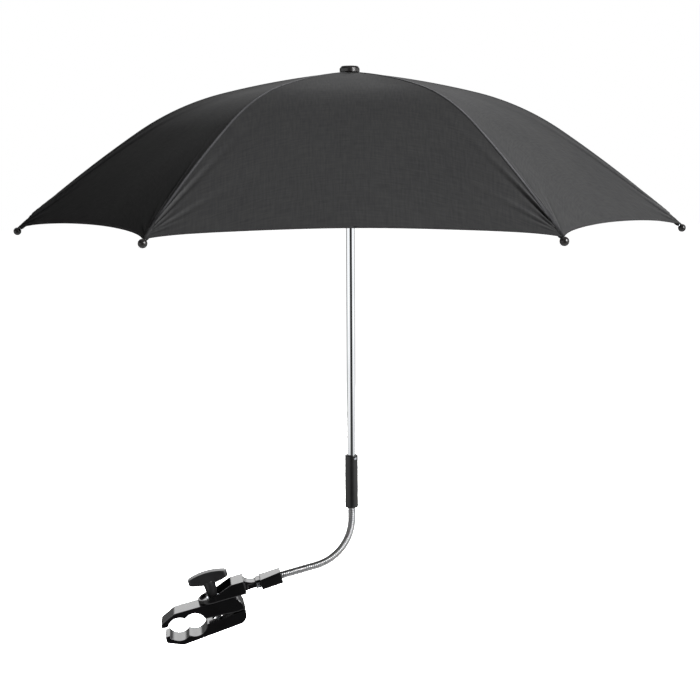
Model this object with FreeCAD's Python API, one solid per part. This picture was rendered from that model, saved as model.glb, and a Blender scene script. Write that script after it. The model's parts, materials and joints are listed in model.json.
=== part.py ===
import FreeCAD, Part
import math
import os

# Pram parasol. Millimetres, +Z up along the mast. The origin is the centre of the clamp's outer
# bore lobe, +Y runs along the clamped tube and +X points from the clamp to the mast.
# The clamp and its arm are drawn in a frame of their own, u along the jaws and v across them,
# which is then tilted about Y.

# Clamp jaws
CLAMP_TILT = 14.0
CLAMP_WIDTH = 31.0
BORE_RADIUS = 13.5
LOBE_PITCH = 18.0
JAW_TOP = 18.7
TIP_WALL = 5.2
TIP_EDGE = 6.3
TIP_SHOULDER = 10.4
TOP_START = 1.0
JAW_LENGTH = 77.0
BACK_ROUND = 15.5
HEEL_ROUND = 10.5
LOWER_WALL = 5.6
LOWER_TIP_EDGE = 4.9
LOWER_TIP_SET = 1.0
LOWER_SHOULDER = 11.6
SLIT_WIDTH = 6.6
SLIT_END_GAP = 1.2
SLIT_END_RISE = 0.3
REAR_RELIEF = 1.0
OPEN_SLOPE = 4.5
EDGE_ROUND = 1.0
TIP_ROUND = 1.2
SHOULDER_ROUND = 3.5
BROW_ROUND = 8.0

# Jaw hinge
HINGE_INSET = 8.0
HINGE_REACH = JAW_LENGTH - HINGE_INSET
HINGE_RISE = 4.5
PIN_RADIUS = 1.5
PIN_BLIND = 4.0
KNUCKLE_RADIUS = 4.2
KNUCKLE_WIDTH = 16.0
KNUCKLE_SWING = 1.2

# Clamp screw, nut and knob
SCREW_REACH = 45.0
SCREW_RADIUS = 3.0
SCREW_DEPTH = 14.6
SCREW_GRIP = 10.0
NUT_RADIUS = 4.6
NUT_LENGTH = 14.0
NUT_DROP = 8.6
NUT_WANDER = 2.8
SCREW_WANDER = 3.9
WASHER_RADIUS = 7.5
WASHER_THICKNESS = 1.2
STEM_HEIGHT = 15.5
STEM_FOOT_RADIUS = 5.5
STEM_HEAD_RADIUS = 7.5
GRIP_LENGTH = 45.5
GRIP_HEIGHT = 14.0
GRIP_END_HEIGHT = 6.0
GRIP_DEPTH = 13.0
GRIP_CORNER = 4.0
GRIP_ROUND = 1.2

# Arm bracket
EYE_RADIUS = 17.5
ARM_WIDTH = 34.0
ARM_WALL = 2.2
ARM_FLOOR = 2.2
RIM_HEIGHT = 4.7
RIM_RISE = 0.8
BOX_START = 68.6
BOX_END = 83.2
BOX_HEIGHT = 14.4
SOCKET_WIDTH = 20.0
SOCKET_HEIGHT = 7.0
SOCKET_DEPTH = 10.0

# Connector neck, catch and gooseneck socket
NECK_WIDTH = 17.0
NECK_END = 95.8
COLLAR_END = 101.4
COLLAR_WIDTH = 19.5
COLLAR_HEIGHT = 9.0
COLLAR_ROUND = 0.8
NECK_WAIST = 6.6
NECK_STEP = 1.0
WINDOW_MARGIN = 3.0
WINDOW_HEIGHT = 4.0
WINDOW_DEPTH = 1.0
BUTTON_LENGTH = 4.0
BUTTON_HEIGHT = 4.6
BUTTON_PROUD = 1.9
BUTTON_DEPTH = 4.0
BUTTON_PRESS = 1.5
BLOCK_END = 126.3
BLOCK_ROOT_WIDTH = 29.0
BLOCK_ROOT_HEIGHT = 11.6
BLOCK_ROOT_DROP = 1.1
BLOCK_TIP_WIDTH = 22.0
BLOCK_TIP_HEIGHT = 13.4
BLOCK_ROUND = 2.0

# Gooseneck
NECK_AXIS = 23.9
HOSE_RADIUS = 4.35
HOSE_ROOT_RADIUS = 3.75
HOSE_BORE_RADIUS = 2.6
HOSE_RUN = 40.6
HOSE_BEND_RADIUS = 55.6
HOSE_RISE = 13.0
HOSE_MIDDLE = 16.0
HOSE_LOWER = 52.0
RIB_PITCH = 2.3
HOSE_JOIN_GAP = 0.3

# Mast, sleeve and pin
MAST_RADIUS = 4.8
MAST_WALL = 0.8
SLEEVE_RADIUS = 7.5
SLEEVE_LENGTH = 61.0
SLEEVE_FLOOR = 8.0
SLEEVE_ROUND = 1.0
SLEEVE_PIN_RADIUS = 1.2
SLEEVE_PIN_HEAD = 1.8
SLEEVE_PIN_DOME = 0.7
SLEEVE_PIN_DROP = 3.2
SLEEVE_PIN_AZIMUTH = -61.0
CROWN_RISE = 485.8

# Umbrella frame
RIB_COUNT = 6
CANOPY_TURN = -6.8
PIVOT_RADIUS = 10.0
RIB_BREAKS = (139.0, 233.2)
RIB_REACH = 366.0
RIB_SLOPES = (5.5, 13.6, 34.0, 40.8)
RIB_WIDTH = 2.6
RIB_WALL = 0.6
RIB_ABOVE = 1.6
RIB_BELOW = 2.0
EYE_THICKNESS = 1.6
EYE_OUTER = 1.6
EYE_NECK = 9.0
WIRE_RADIUS = 0.7
STUB_RADIUS = 1.1
TIP_REACH = 6.6
BALL_RADIUS = 4.3
STRETCHER_REACH = 165.0
STRETCHER_HEIGHT = 3.0
STRETCHER_WALL = 0.6
STRETCHER_TONGUE = 16.0
FORK_LENGTH = 12.0
RIVET_RADIUS = 0.9
RIVET_HEAD = 1.5
RIVET_HEAD_HEIGHT = 0.5
FOLD_ANGLE = 64.0

# Crown, cap, runner and catch
CROWN_RADIUS = 13.0
CROWN_ABOVE = 1.2
CROWN_BELOW = 5.0
CROWN_SKIRT = 10.0
CROWN_SKIRT_RADIUS = 7.0
CAP_RADIUS = 11.0
CAP_HEIGHT = 6.4
CAP_ROUND = 2.4
CAP_SHOULDER = 1.6
CAP_BOSS_RADIUS = 6.0
CAP_STEM = 8.0
RUNNER_RADIUS = 7.4
RUNNER_FLANGE_RADIUS = 13.0
RUNNER_ABOVE = 3.5
RUNNER_BELOW = 3.5
RUNNER_LENGTH = 40.0
RUNNER_COLLAR_RADIUS = 8.0
RUNNER_COLLAR = 5.0
CATCH_WIDTH = 2.0
CATCH_PROUD = 1.6
CATCH_LENGTH = 12.0
CATCH_DEPTH = 2.4
CATCH_DROP = 1.5
CATCH_AZIMUTH = -36.8

# Canopy cloth
CLOTH_THICKNESS = 1.0
CLOTH_HOLE = 7.5
CLOTH_GAP = 0.5
GORE_GAP = 0.3
HEM_SCALLOP = 13.6
CLOTH_SAG = 4.0
CLOTH_STEPS = 13
CLOTH_STRIPS = 5

# Clearances
RUNNING = 0.05
PRESS = 0.02
SLIDE = 0.2
CLEAR = 0.35

ORIGIN = FreeCAD.Vector(0, 0, 0)
UP = FreeCAD.Vector(0, 0, 1)
ALONG_X = FreeCAD.Vector(1, 0, 0)
ALONG_Y = FreeCAD.Vector(0, 1, 0)


# Helpers
def at(x, y, z):
    """A point or direction."""
    return FreeCAD.Vector(x, y, z)


def sine(degrees):
    """Sine of an angle in degrees."""
    return math.sin(math.radians(degrees))


def cosine(degrees):
    """Cosine of an angle in degrees."""
    return math.cos(math.radians(degrees))


def tilted(shape):
    """Turn a shape from the clamp's frame into the part's frame."""
    result = shape.copy()
    result.rotate(ORIGIN, ALONG_Y, -CLAMP_TILT)
    return result


def tilted_point(u, v):
    """A point of the clamp's middle plane in the part's frame."""
    return at(
        u * cosine(CLAMP_TILT) - v * sine(CLAMP_TILT),
        0,
        u * sine(CLAMP_TILT) + v * cosine(CLAMP_TILT),
    )


def spun(shape, degrees):
    """Turn a shape about the Z axis."""
    result = shape.copy()
    result.rotate(ORIGIN, UP, degrees)
    return result


def moved(shape, offset):
    """Carry a shape along a vector."""
    carried = shape.copy()
    carried.translate(offset)
    return carried


def rod(radius, start, end):
    """A round bar between two points."""
    return Part.makeCylinder(radius, (end - start).Length, start, end - start)


def cross_rod(radius, u, v, y_from, y_to):
    """A round bar along Y through (u, v)."""
    return rod(radius, at(u, y_from, v), at(u, y_to, v))


def block(x0, x1, y0, y1, z0, z1):
    """A box between two corners."""
    return Part.makeBox(x1 - x0, y1 - y0, z1 - z0, at(x0, y0, z0))


def rounded_face(corners):
    """A flat face in the XZ plane whose corners (x, z, radius) are rounded by tangent arcs."""
    spots = [at(x, 0, z) for x, z, _ in corners]
    entries, exits, edges = [], [], []
    for number, (here, corner) in enumerate(zip(spots, corners)):
        back = (spots[number - 1] - here).normalize()
        onward = (spots[(number + 1) % len(spots)] - here).normalize()
        half_turn = back.getAngle(onward) / 2
        reach = corner[2] / math.tan(half_turn)
        entries.append(here + back * reach)
        exits.append(here + onward * reach)
        if corner[2] > 0:
            inward = (back + onward).normalize()
            middle = here + inward * (corner[2] / math.sin(half_turn) - corner[2])
            edges.append(Part.Arc(entries[-1], middle, exits[-1]).toShape())
    for number, leaving in enumerate(exits):
        arriving = entries[(number + 1) % len(entries)]
        edges.append(Part.LineSegment(leaving, arriving).toShape())
    return Part.Face(Part.Wire(Part.sortEdges(edges)[0]))


def prism(face, width):
    """Thicken a face of the XZ plane evenly to both sides."""
    return moved(face, at(0, -width / 2, 0)).extrude(at(0, width, 0))


def side_edges(solid, width):
    """The edges that lie on the two side faces of a prism."""
    found = []
    for edge in solid.Edges:
        if all(abs(abs(vertex.Y) - width / 2) < 1e-6 for vertex in edge.Vertexes):
            if abs(abs(edge.CenterOfMass.y) - width / 2) < 1e-6:
                found.append(edge)
    return found


def softened_prism(face, width, radius):
    """A prism with the rims of both side faces rounded."""
    solid = prism(face, width)
    return solid.makeFillet(radius, side_edges(solid, width))


def turned(points):
    """Revolve a closed outline of (radius, z) points about the Z axis."""
    wire = Part.makePolygon([at(r, 0, z) for r, z in points + points[:1]])
    return Part.Face(wire).revolve(ORIGIN, UP, 360)


# Clamp jaws
def bore_lobes():
    """The two-lobed opening that the pram's tube sits in."""
    outer = cross_rod(BORE_RADIUS, 0, 0, -CLAMP_WIDTH, CLAMP_WIDTH)
    inner = cross_rod(BORE_RADIUS, LOBE_PITCH, 0, -CLAMP_WIDTH, CLAMP_WIDTH)
    return outer.fuse(inner)


def screw_bore(radius, v_from, v_to):
    """A round hole on the clamp screw's axis."""
    return rod(radius, at(SCREW_REACH, 0, v_from), at(SCREW_REACH, 0, v_to))


def upper_jaw():
    """The fixed jaw, with the pocket for the lower jaw's knuckle and the pin's blind hole."""
    tip = -(BORE_RADIUS + TIP_WALL)
    parting = SLIT_END_RISE + SLIT_END_GAP / 2
    slit_start = LOBE_PITCH + BORE_RADIUS + TIP_ROUND
    outline = rounded_face([
        (tip, TIP_EDGE, TIP_ROUND),
        (tip, TIP_SHOULDER, SHOULDER_ROUND),
        (-TOP_START, JAW_TOP, BROW_ROUND),
        (JAW_LENGTH, JAW_TOP, BACK_ROUND),
        (JAW_LENGTH, parting + REAR_RELIEF, 0),
        (HINGE_REACH, parting, 0),
        (slit_start, SLIT_WIDTH / 2, 0),
    ])
    jaw = softened_prism(outline, CLAMP_WIDTH, EDGE_ROUND)
    pocket_side = KNUCKLE_WIDTH / 2 + CLEAR
    pocket_half = KNUCKLE_RADIUS + KNUCKLE_SWING
    pocket = cross_rod(pocket_half, HINGE_REACH, HINGE_RISE, -pocket_side, pocket_side)
    throat = block(
        HINGE_REACH - pocket_half, HINGE_REACH + pocket_half,
        -pocket_side, pocket_side,
        -HINGE_RISE, HINGE_RISE,
    )
    pin_hole = cross_rod(
        PIN_RADIUS + PRESS, HINGE_REACH, HINGE_RISE,
        -CLAMP_WIDTH / 2 + PIN_BLIND, CLAMP_WIDTH,
    )
    screw_hole = screw_bore(SCREW_RADIUS + SLIDE, -JAW_TOP, 2 * JAW_TOP)
    return jaw.cut(bore_lobes()).cut(pocket).cut(throat).cut(pin_hole).cut(screw_hole)


def lower_jaw():
    """The swinging jaw: knuckle, nut seat open to the far side, and slot for the tilted screw."""
    tip = -(BORE_RADIUS + TIP_WALL) + LOWER_TIP_SET
    sole = -(BORE_RADIUS + LOWER_WALL)
    heel = sole + JAW_LENGTH * math.tan(math.radians(OPEN_SLOPE))
    parting = SLIT_END_RISE - SLIT_END_GAP / 2
    slit_start = LOBE_PITCH + BORE_RADIUS + TIP_ROUND
    outline = rounded_face([
        (tip, -LOWER_TIP_EDGE, TIP_ROUND),
        (tip, -LOWER_SHOULDER, SHOULDER_ROUND),
        (0, sole, BROW_ROUND),
        (JAW_LENGTH, heel, HEEL_ROUND),
        (JAW_LENGTH, parting, 0),
        (HINGE_REACH, parting, 0),
        (slit_start, -SLIT_WIDTH / 2, 0),
    ])
    jaw = softened_prism(outline, CLAMP_WIDTH, EDGE_ROUND)
    half = KNUCKLE_WIDTH / 2
    web = block(
        HINGE_REACH - KNUCKLE_RADIUS, HINGE_REACH + KNUCKLE_RADIUS,
        -half, half,
        parting - KNUCKLE_RADIUS, HINGE_RISE,
    )
    knuckle = cross_rod(KNUCKLE_RADIUS, HINGE_REACH, HINGE_RISE, -half, half)
    jaw = jaw.fuse(web).fuse(knuckle)
    pin_hole = cross_rod(PIN_RADIUS + RUNNING, HINGE_REACH, HINGE_RISE, -CLAMP_WIDTH, CLAMP_WIDTH)
    return jaw.cut(bore_lobes()).cut(pin_hole).cut(nut_seat()).cut(screw_slot())


def nut_seat():
    """Room for the barrel nut, which shifts along the jaw as the jaw swings."""
    radius = NUT_RADIUS + CLEAR
    near = -NUT_LENGTH / 2 - CLEAR
    seat = block(
        SCREW_REACH - NUT_WANDER, SCREW_REACH + NUT_WANDER,
        near, CLAMP_WIDTH,
        -NUT_DROP - radius, -NUT_DROP + radius,
    )
    for shift in (-NUT_WANDER, NUT_WANDER):
        seat = seat.fuse(cross_rod(radius, SCREW_REACH + shift, -NUT_DROP, near, CLAMP_WIDTH))
    return seat


def screw_slot():
    """A long slot through the lower jaw, so that it can swing round the screw."""
    radius = SCREW_RADIUS + CLEAR
    slot = block(
        SCREW_REACH - SCREW_WANDER, SCREW_REACH + SCREW_WANDER,
        -radius, radius,
        -2 * JAW_TOP, 0,
    )
    for shift in (-SCREW_WANDER, SCREW_WANDER):
        slot = slot.fuse(moved(screw_bore(radius, -2 * JAW_TOP, 0), at(shift, 0, 0)))
    return slot


def jaw_hinge_pin():
    """The steel pin, pushed in from the far side."""
    return cross_rod(
        PIN_RADIUS, HINGE_REACH, HINGE_RISE,
        -CLAMP_WIDTH / 2 + PIN_BLIND, CLAMP_WIDTH / 2 - EDGE_ROUND,
    )


# Clamp screw, nut, washer and knob
ARM_BOTTOM = JAW_TOP + CLEAR
CUP_FLOOR = ARM_BOTTOM + ARM_FLOOR
KNOB_FOOT = CUP_FLOOR + WASHER_THICKNESS + RUNNING
GRIP_BOTTOM = KNOB_FOOT + STEM_HEIGHT
GRIP_MIDDLE = GRIP_BOTTOM + GRIP_HEIGHT / 2


def clamp_screw():
    """The threaded rod, with a chamfered end."""
    top = KNOB_FOOT + SCREW_GRIP
    shank = screw_bore(SCREW_RADIUS, -SCREW_DEPTH + SCREW_RADIUS / 3, top)
    end = Part.makeCone(
        SCREW_RADIUS * 2 / 3, SCREW_RADIUS, SCREW_RADIUS / 3, at(SCREW_REACH, 0, -SCREW_DEPTH),
    )
    return shank.fuse(end).removeSplitter()


def clamp_nut():
    """The barrel nut that lies across the lower jaw."""
    barrel = cross_rod(NUT_RADIUS, SCREW_REACH, -NUT_DROP, -NUT_LENGTH / 2, NUT_LENGTH / 2)
    return barrel.cut(screw_bore(SCREW_RADIUS + RUNNING, -3 * NUT_DROP, NUT_DROP))


def screw_washer():
    """The plain washer on the floor of the arm's eye."""
    disc = screw_bore(WASHER_RADIUS, CUP_FLOOR, CUP_FLOOR + WASHER_THICKNESS)
    return disc.cut(screw_bore(SCREW_RADIUS + SLIDE, CUP_FLOOR, GRIP_BOTTOM))


def clamp_knob():
    """The T-knob: a lens-shaped grip on a stem that narrows to its foot."""
    half = GRIP_LENGTH / 2
    end = GRIP_END_HEIGHT / 2
    bulge = GRIP_HEIGHT / 2
    crown = Part.Arc(at(-half, 0, end), at(0, 0, bulge), at(half, 0, end)).toShape()
    belly = Part.Arc(at(half, 0, -end), at(0, 0, -bulge), at(-half, 0, -end)).toShape()
    right = Part.makeLine(at(half, 0, end), at(half, 0, -end))
    left = Part.makeLine(at(-half, 0, -end), at(-half, 0, end))
    grip = prism(Part.Face(Part.Wire([crown, right, belly, left])), GRIP_DEPTH)
    plan = rounded_face([
        (-half, -GRIP_DEPTH / 2, GRIP_CORNER),
        (half, -GRIP_DEPTH / 2, GRIP_CORNER),
        (half, GRIP_DEPTH / 2, GRIP_CORNER),
        (-half, GRIP_DEPTH / 2, GRIP_CORNER),
    ])
    plan.rotate(ORIGIN, ALONG_X, 90)
    footprint = moved(plan, at(0, 0, -GRIP_HEIGHT)).extrude(at(0, 0, 2 * GRIP_HEIGHT))
    grip = grip.common(footprint)
    grip = grip.makeFillet(GRIP_ROUND, grip.Edges)
    grip.translate(at(SCREW_REACH, 0, GRIP_MIDDLE))
    stem = Part.makeCone(
        STEM_FOOT_RADIUS, STEM_HEAD_RADIUS, STEM_HEIGHT + GRIP_HEIGHT / 4, at(SCREW_REACH, 0, KNOB_FOOT),
    )
    rod_hole = screw_bore(SCREW_RADIUS + PRESS, KNOB_FOOT, KNOB_FOOT + SCREW_GRIP + PRESS)
    return grip.fuse(stem).cut(rod_hole)


# Arm bracket and connector
def arm_bracket():
    """The arm: an eye round the screw, rising side walls and a box with a socket."""
    top = ARM_BOTTOM + BOX_HEIGHT
    rim = ARM_BOTTOM + RIM_HEIGHT
    eye_tip = SCREW_REACH - EYE_RADIUS
    outline = rounded_face([
        (eye_tip - CLEAR, ARM_BOTTOM, 0),
        (eye_tip - CLEAR, rim, 0),
        (SCREW_REACH, rim + RIM_RISE, 0),
        (BOX_START, top, 0),
        (BOX_END, top, 0),
        (BOX_END, ARM_BOTTOM, 0),
    ])
    mask = prism(outline, 2 * EYE_RADIUS + ARM_WIDTH)
    shaft = block(SCREW_REACH, BOX_END, -ARM_WIDTH / 2, ARM_WIDTH / 2, ARM_BOTTOM, top)
    body = screw_bore(EYE_RADIUS, ARM_BOTTOM, top).fuse(shaft).common(mask)
    inner = ARM_WIDTH / 2 - ARM_WALL
    trough = block(SCREW_REACH, BOX_START, -inner, inner, CUP_FLOOR, 2 * top)
    cup = screw_bore(EYE_RADIUS - ARM_WALL, CUP_FLOOR, 2 * top)
    cup = cup.common(block(0, BOX_START, -EYE_RADIUS, EYE_RADIUS, CUP_FLOOR, 2 * top))
    body = body.cut(trough.fuse(cup))
    middle = ARM_BOTTOM + BOX_HEIGHT / 2
    socket = block(
        BOX_END - SOCKET_DEPTH, BOX_END + CLEAR,
        -SOCKET_WIDTH / 2, SOCKET_WIDTH / 2,
        middle - SOCKET_HEIGHT / 2, middle + SOCKET_HEIGHT / 2,
    )
    return body.cut(socket).cut(screw_bore(SCREW_RADIUS + SLIDE, 0, top))


def connector_neck():
    """The plug: a tongue in the arm's box, a waisted neck with side windows, and a collar."""
    middle = ARM_BOTTOM + BOX_HEIGHT / 2
    start = BOX_END + RUNNING
    low, high = ARM_BOTTOM + NECK_STEP, ARM_BOTTOM + BOX_HEIGHT - NECK_STEP
    floor, ceiling = NECK_AXIS - NECK_WAIST / 2, NECK_AXIS + NECK_WAIST / 2
    half_way = (start + NECK_END) / 2
    back = Part.Arc(
        at(start, 0, high), at(half_way, 0, ceiling + (high - ceiling) / 6), at(NECK_END, 0, ceiling),
    ).toShape()
    belly = Part.Arc(
        at(NECK_END, 0, floor), at(half_way, 0, floor + (low - floor) / 6), at(start, 0, low),
    ).toShape()
    front = Part.makeLine(at(NECK_END, 0, ceiling), at(NECK_END, 0, floor))
    root = Part.makeLine(at(start, 0, low), at(start, 0, high))
    neck = prism(Part.Face(Part.Wire([back, front, belly, root])), NECK_WIDTH)
    for side in (-1, 1):
        face = side * NECK_WIDTH / 2
        window = block(
            start + WINDOW_MARGIN, NECK_END - WINDOW_MARGIN,
            min(face, face - side * WINDOW_DEPTH), max(face, face - side * WINDOW_DEPTH),
            NECK_AXIS - WINDOW_HEIGHT / 2, NECK_AXIS + WINDOW_HEIGHT / 2,
        )
        neck = neck.cut(window)
    tongue = block(
        BOX_END - SOCKET_DEPTH + SLIDE, start,
        -SOCKET_WIDTH / 2 + SLIDE, SOCKET_WIDTH / 2 - SLIDE,
        middle - SOCKET_HEIGHT / 2 + SLIDE, middle + SOCKET_HEIGHT / 2 - SLIDE,
    )
    collar = block(
        NECK_END, COLLAR_END,
        -COLLAR_WIDTH / 2, COLLAR_WIDTH / 2,
        NECK_AXIS - COLLAR_HEIGHT / 2, NECK_AXIS + COLLAR_HEIGHT / 2,
    )
    long_edges = [e for e in collar.Edges if abs(e.tangentAt(e.FirstParameter).x) > cosine(1)]
    collar = collar.makeFillet(COLLAR_ROUND, long_edges)
    plug = neck.fuse([tongue, collar])
    return plug.cut(button_shape(SLIDE, BUTTON_PRESS + CLEAR)).removeSplitter()


def button_shape(margin, deeper):
    """The catch button, or with a margin and more depth the pocket it slides in."""
    middle = (NECK_END + COLLAR_END) / 2
    face = -COLLAR_WIDTH / 2
    return block(
        middle - BUTTON_LENGTH / 2 - margin, middle + BUTTON_LENGTH / 2 + margin,
        face - BUTTON_PROUD, face + BUTTON_DEPTH + deeper,
        NECK_AXIS - BUTTON_HEIGHT / 2 - margin, NECK_AXIS + BUTTON_HEIGHT / 2 + margin,
    )


def release_button():
    """The sprung catch on the near side of the collar, with a rounded face."""
    button = button_shape(0, 0)
    outer = [e for e in button.Edges if abs(e.CenterOfMass.y + COLLAR_WIDTH / 2 + BUTTON_PROUD) < 1e-6]
    return button.makeFillet(COLLAR_ROUND, outer)


def block_section(u, width, height, middle):
    """A rounded rectangle across the socket block's length."""
    corners = [
        (-width / 2, middle - height / 2, BLOCK_ROUND),
        (width / 2, middle - height / 2, BLOCK_ROUND),
        (width / 2, middle + height / 2, BLOCK_ROUND),
        (-width / 2, middle + height / 2, BLOCK_ROUND),
    ]
    face = spun(rounded_face(corners), 90)
    return moved(face.OuterWire, at(u, 0, 0))


def neck_socket():
    """The block that narrows from the collar to the gooseneck's end."""
    root = block_section(COLLAR_END, BLOCK_ROOT_WIDTH, BLOCK_ROOT_HEIGHT, NECK_AXIS - BLOCK_ROOT_DROP)
    tip = block_section(BLOCK_END, BLOCK_TIP_WIDTH, BLOCK_TIP_HEIGHT, NECK_AXIS)
    return Part.makeLoft([root, tip], True, True)


# Gooseneck: a straight run from the socket, one bend up, and a short rise into the sleeve
HOSE_START = tilted_point(BLOCK_END, NECK_AXIS)
HOSE_TURN = 90 - CLAMP_TILT
HOSE_BEND_LENGTH = HOSE_BEND_RADIUS * math.radians(HOSE_TURN)
HOSE_LENGTH = HOSE_RUN + HOSE_BEND_LENGTH + HOSE_RISE


def hose_heading(length):
    """The slope of the gooseneck's line, in degrees, after a length of it."""
    turned_by = math.degrees((length - HOSE_RUN) / HOSE_BEND_RADIUS)
    return CLAMP_TILT + min(max(turned_by, 0), HOSE_TURN)


def hose_point(length):
    """The gooseneck's centre line after a length of it."""
    heading = hose_heading(length)
    run = min(length, HOSE_RUN)
    rise = max(length - HOSE_RUN - HOSE_BEND_LENGTH, 0)
    return HOSE_START + at(
        run * cosine(CLAMP_TILT) + HOSE_BEND_RADIUS * (sine(heading) - sine(CLAMP_TILT)),
        0,
        run * sine(CLAMP_TILT) + HOSE_BEND_RADIUS * (cosine(CLAMP_TILT) - cosine(heading)) + rise,
    )


def hose_ring(length, radius):
    """A circle across the gooseneck, with its own X axis always along Y."""
    heading = hose_heading(length)
    ring = Part.Circle()
    ring.Center = hose_point(length)
    ring.Axis = at(cosine(heading), 0, sine(heading))
    ring.XAxis = ALONG_Y
    ring.Radius = radius
    return Part.Wire([ring.toShape()])


def hose_line(start, end):
    """The gooseneck's centre line between two lengths, as straight edges and an arc."""
    stops = [start] + [s for s in (HOSE_RUN, HOSE_RUN + HOSE_BEND_LENGTH) if start < s < end] + [end]
    edges = []
    for near, far in zip(stops, stops[1:]):
        middle = (near + far) / 2
        bent = HOSE_RUN < middle < HOSE_RUN + HOSE_BEND_LENGTH
        if bent:
            edges.append(Part.Arc(hose_point(near), hose_point(middle), hose_point(far)).toShape())
        else:
            edges.append(Part.makeLine(hose_point(near), hose_point(far)))
    return Part.Wire(edges)


def hose_piece(start, end):
    """A stretch of the ribbed gooseneck, bored through: four circles to each rib."""
    count = max(round((end - start) / RIB_PITCH), 1)
    pitch = (end - start) / count
    rings = []
    for number in range(count):
        for share, radius in (
            (0.0, HOSE_ROOT_RADIUS), (0.2, HOSE_RADIUS), (0.75, HOSE_RADIUS), (0.95, HOSE_ROOT_RADIUS),
        ):
            rings.append(hose_ring(start + (number + share) * pitch, radius))
    rings.append(hose_ring(end, HOSE_ROOT_RADIUS))
    skin = Part.makeLoft(rings, True, True)
    bore = hose_line(start, end).makePipeShell([hose_ring(start, HOSE_BORE_RADIUS)], True, True)
    return skin.cut(bore)


MAST_X = hose_point(HOSE_LENGTH).x
SLEEVE_BOTTOM = hose_point(HOSE_LENGTH).z
SLEEVE_TOP = SLEEVE_BOTTOM + SLEEVE_LENGTH
CROWN_HEIGHT = SLEEVE_BOTTOM + CROWN_RISE


# Mast, sleeve and pin, in a frame with the mast on the Z axis and the rib pivots at z = 0
SLEEVE_BASE = -CROWN_RISE
MAST_BASE = SLEEVE_BASE + SLEEVE_FLOOR
PIN_LEVEL = SLEEVE_BASE + SLEEVE_LENGTH - SLEEVE_PIN_DROP


def sleeve_pin_hole(margin):
    """The sleeve pin's shank, or with a margin the hole for it."""
    way = at(cosine(SLEEVE_PIN_AZIMUTH), sine(SLEEVE_PIN_AZIMUTH), 0)
    level = at(0, 0, PIN_LEVEL)
    return rod(SLEEVE_PIN_RADIUS + margin, level + way * (MAST_RADIUS / 2), level + way * SLEEVE_RADIUS)


def sleeve_pin():
    """The bright pin that holds the mast in its sleeve, with a domed head."""
    way = at(cosine(SLEEVE_PIN_AZIMUTH), sine(SLEEVE_PIN_AZIMUTH), 0)
    foot = at(0, 0, PIN_LEVEL) + way * SLEEVE_RADIUS
    head = Part.makeCone(SLEEVE_PIN_HEAD, SLEEVE_PIN_RADIUS, SLEEVE_PIN_DOME, foot, way)
    return sleeve_pin_hole(0).fuse(head)


def mast_sleeve():
    """The moulded sleeve that joins the mast to the gooseneck."""
    sleeve = Part.makeCylinder(SLEEVE_RADIUS, SLEEVE_LENGTH, at(0, 0, SLEEVE_BASE))
    rims = [e for e in sleeve.Edges if e.Closed]
    sleeve = sleeve.makeFillet(SLEEVE_ROUND, rims)
    bore = rod(MAST_RADIUS + PRESS, at(0, 0, MAST_BASE), ORIGIN)
    return sleeve.cut(bore).cut(sleeve_pin_hole(PRESS))


def mast():
    """The chromed tube, slotted for the runner's catch."""
    tube = rod(MAST_RADIUS, at(0, 0, MAST_BASE), at(0, 0, CROWN_ABOVE))
    tube = tube.cut(rod(MAST_RADIUS - MAST_WALL, at(0, 0, MAST_BASE), at(0, 0, CROWN_ABOVE)))
    slot = block(
        0, 2 * MAST_RADIUS,
        -CATCH_WIDTH / 2 - SLIDE, CATCH_WIDTH / 2 + SLIDE,
        CATCH_TOP - CATCH_LENGTH - SLIDE, CATCH_TOP + SLIDE,
    )
    return tube.cut(spun(slot, CATCH_AZIMUTH)).cut(sleeve_pin_hole(PRESS))


# Ribs: three tangent arcs that steepen from the crown to the tip
def rib_arcs():
    """Centre, radius, first reach and end slopes of each arc of the line through the rib's pivots."""
    reaches = (PIVOT_RADIUS,) + RIB_BREAKS + (RIB_REACH,)
    here = at(PIVOT_RADIUS, 0, 0)
    arcs = []
    for near, far, flat, steep in zip(reaches, reaches[1:], RIB_SLOPES, RIB_SLOPES[1:]):
        radius = (far - near) / (sine(steep) - sine(flat))
        centre = here - at(sine(flat), 0, cosine(flat)) * radius
        here = centre + at(sine(steep), 0, cosine(steep)) * radius
        arcs.append((centre, radius, near, flat, steep))
    return arcs


RIB_ARCS = rib_arcs()


def rib_slope(reach):
    """The arc that a reach from the mast lies on, and its slope there in degrees."""
    arc = [a for number, a in enumerate(RIB_ARCS) if number == 0 or a[2] <= reach][-1]
    return arc, math.degrees(math.asin(sine(arc[3]) + (reach - arc[2]) / arc[1]))


def arc_point(arc, slope, rise):
    """The point of an arc at a slope, moved square to the rib by a rise."""
    return arc[0] + at(sine(slope), 0, cosine(slope)) * (arc[1] + rise)


def rib_point(reach, rise):
    """The point of the rib's line at a reach, moved square to it by a rise."""
    arc, slope = rib_slope(reach)
    return arc_point(arc, slope, rise)


def rib_edges(start, end, rise):
    """The rib's line between two reaches, moved square to itself by a rise."""
    stops = [start] + [r for r in RIB_BREAKS if start < r < end] + [end]
    edges = []
    for near, far in zip(stops, stops[1:]):
        points = [rib_point(r, rise) for r in (near, (near + far) / 2)]
        arc = rib_slope((near + far) / 2)[0]
        last = math.degrees(math.asin(sine(arc[3]) + (far - arc[2]) / arc[1]))
        edges.append(Part.Arc(points[0], points[1], arc_point(arc, last, rise)).toShape())
    return edges


def rib_band(start, end, below, above, width):
    """A strip of the rib between two reaches and two rises."""
    top = rib_edges(start, end, above)
    bottom = rib_edges(start, end, below)
    ends = [
        Part.makeLine(bottom[0].firstVertex().Point, top[0].firstVertex().Point),
        Part.makeLine(bottom[-1].lastVertex().Point, top[-1].lastVertex().Point),
    ]
    wire = Part.Wire(Part.sortEdges(top + bottom + ends)[0])
    return prism(Part.Face(wire), width)


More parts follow.
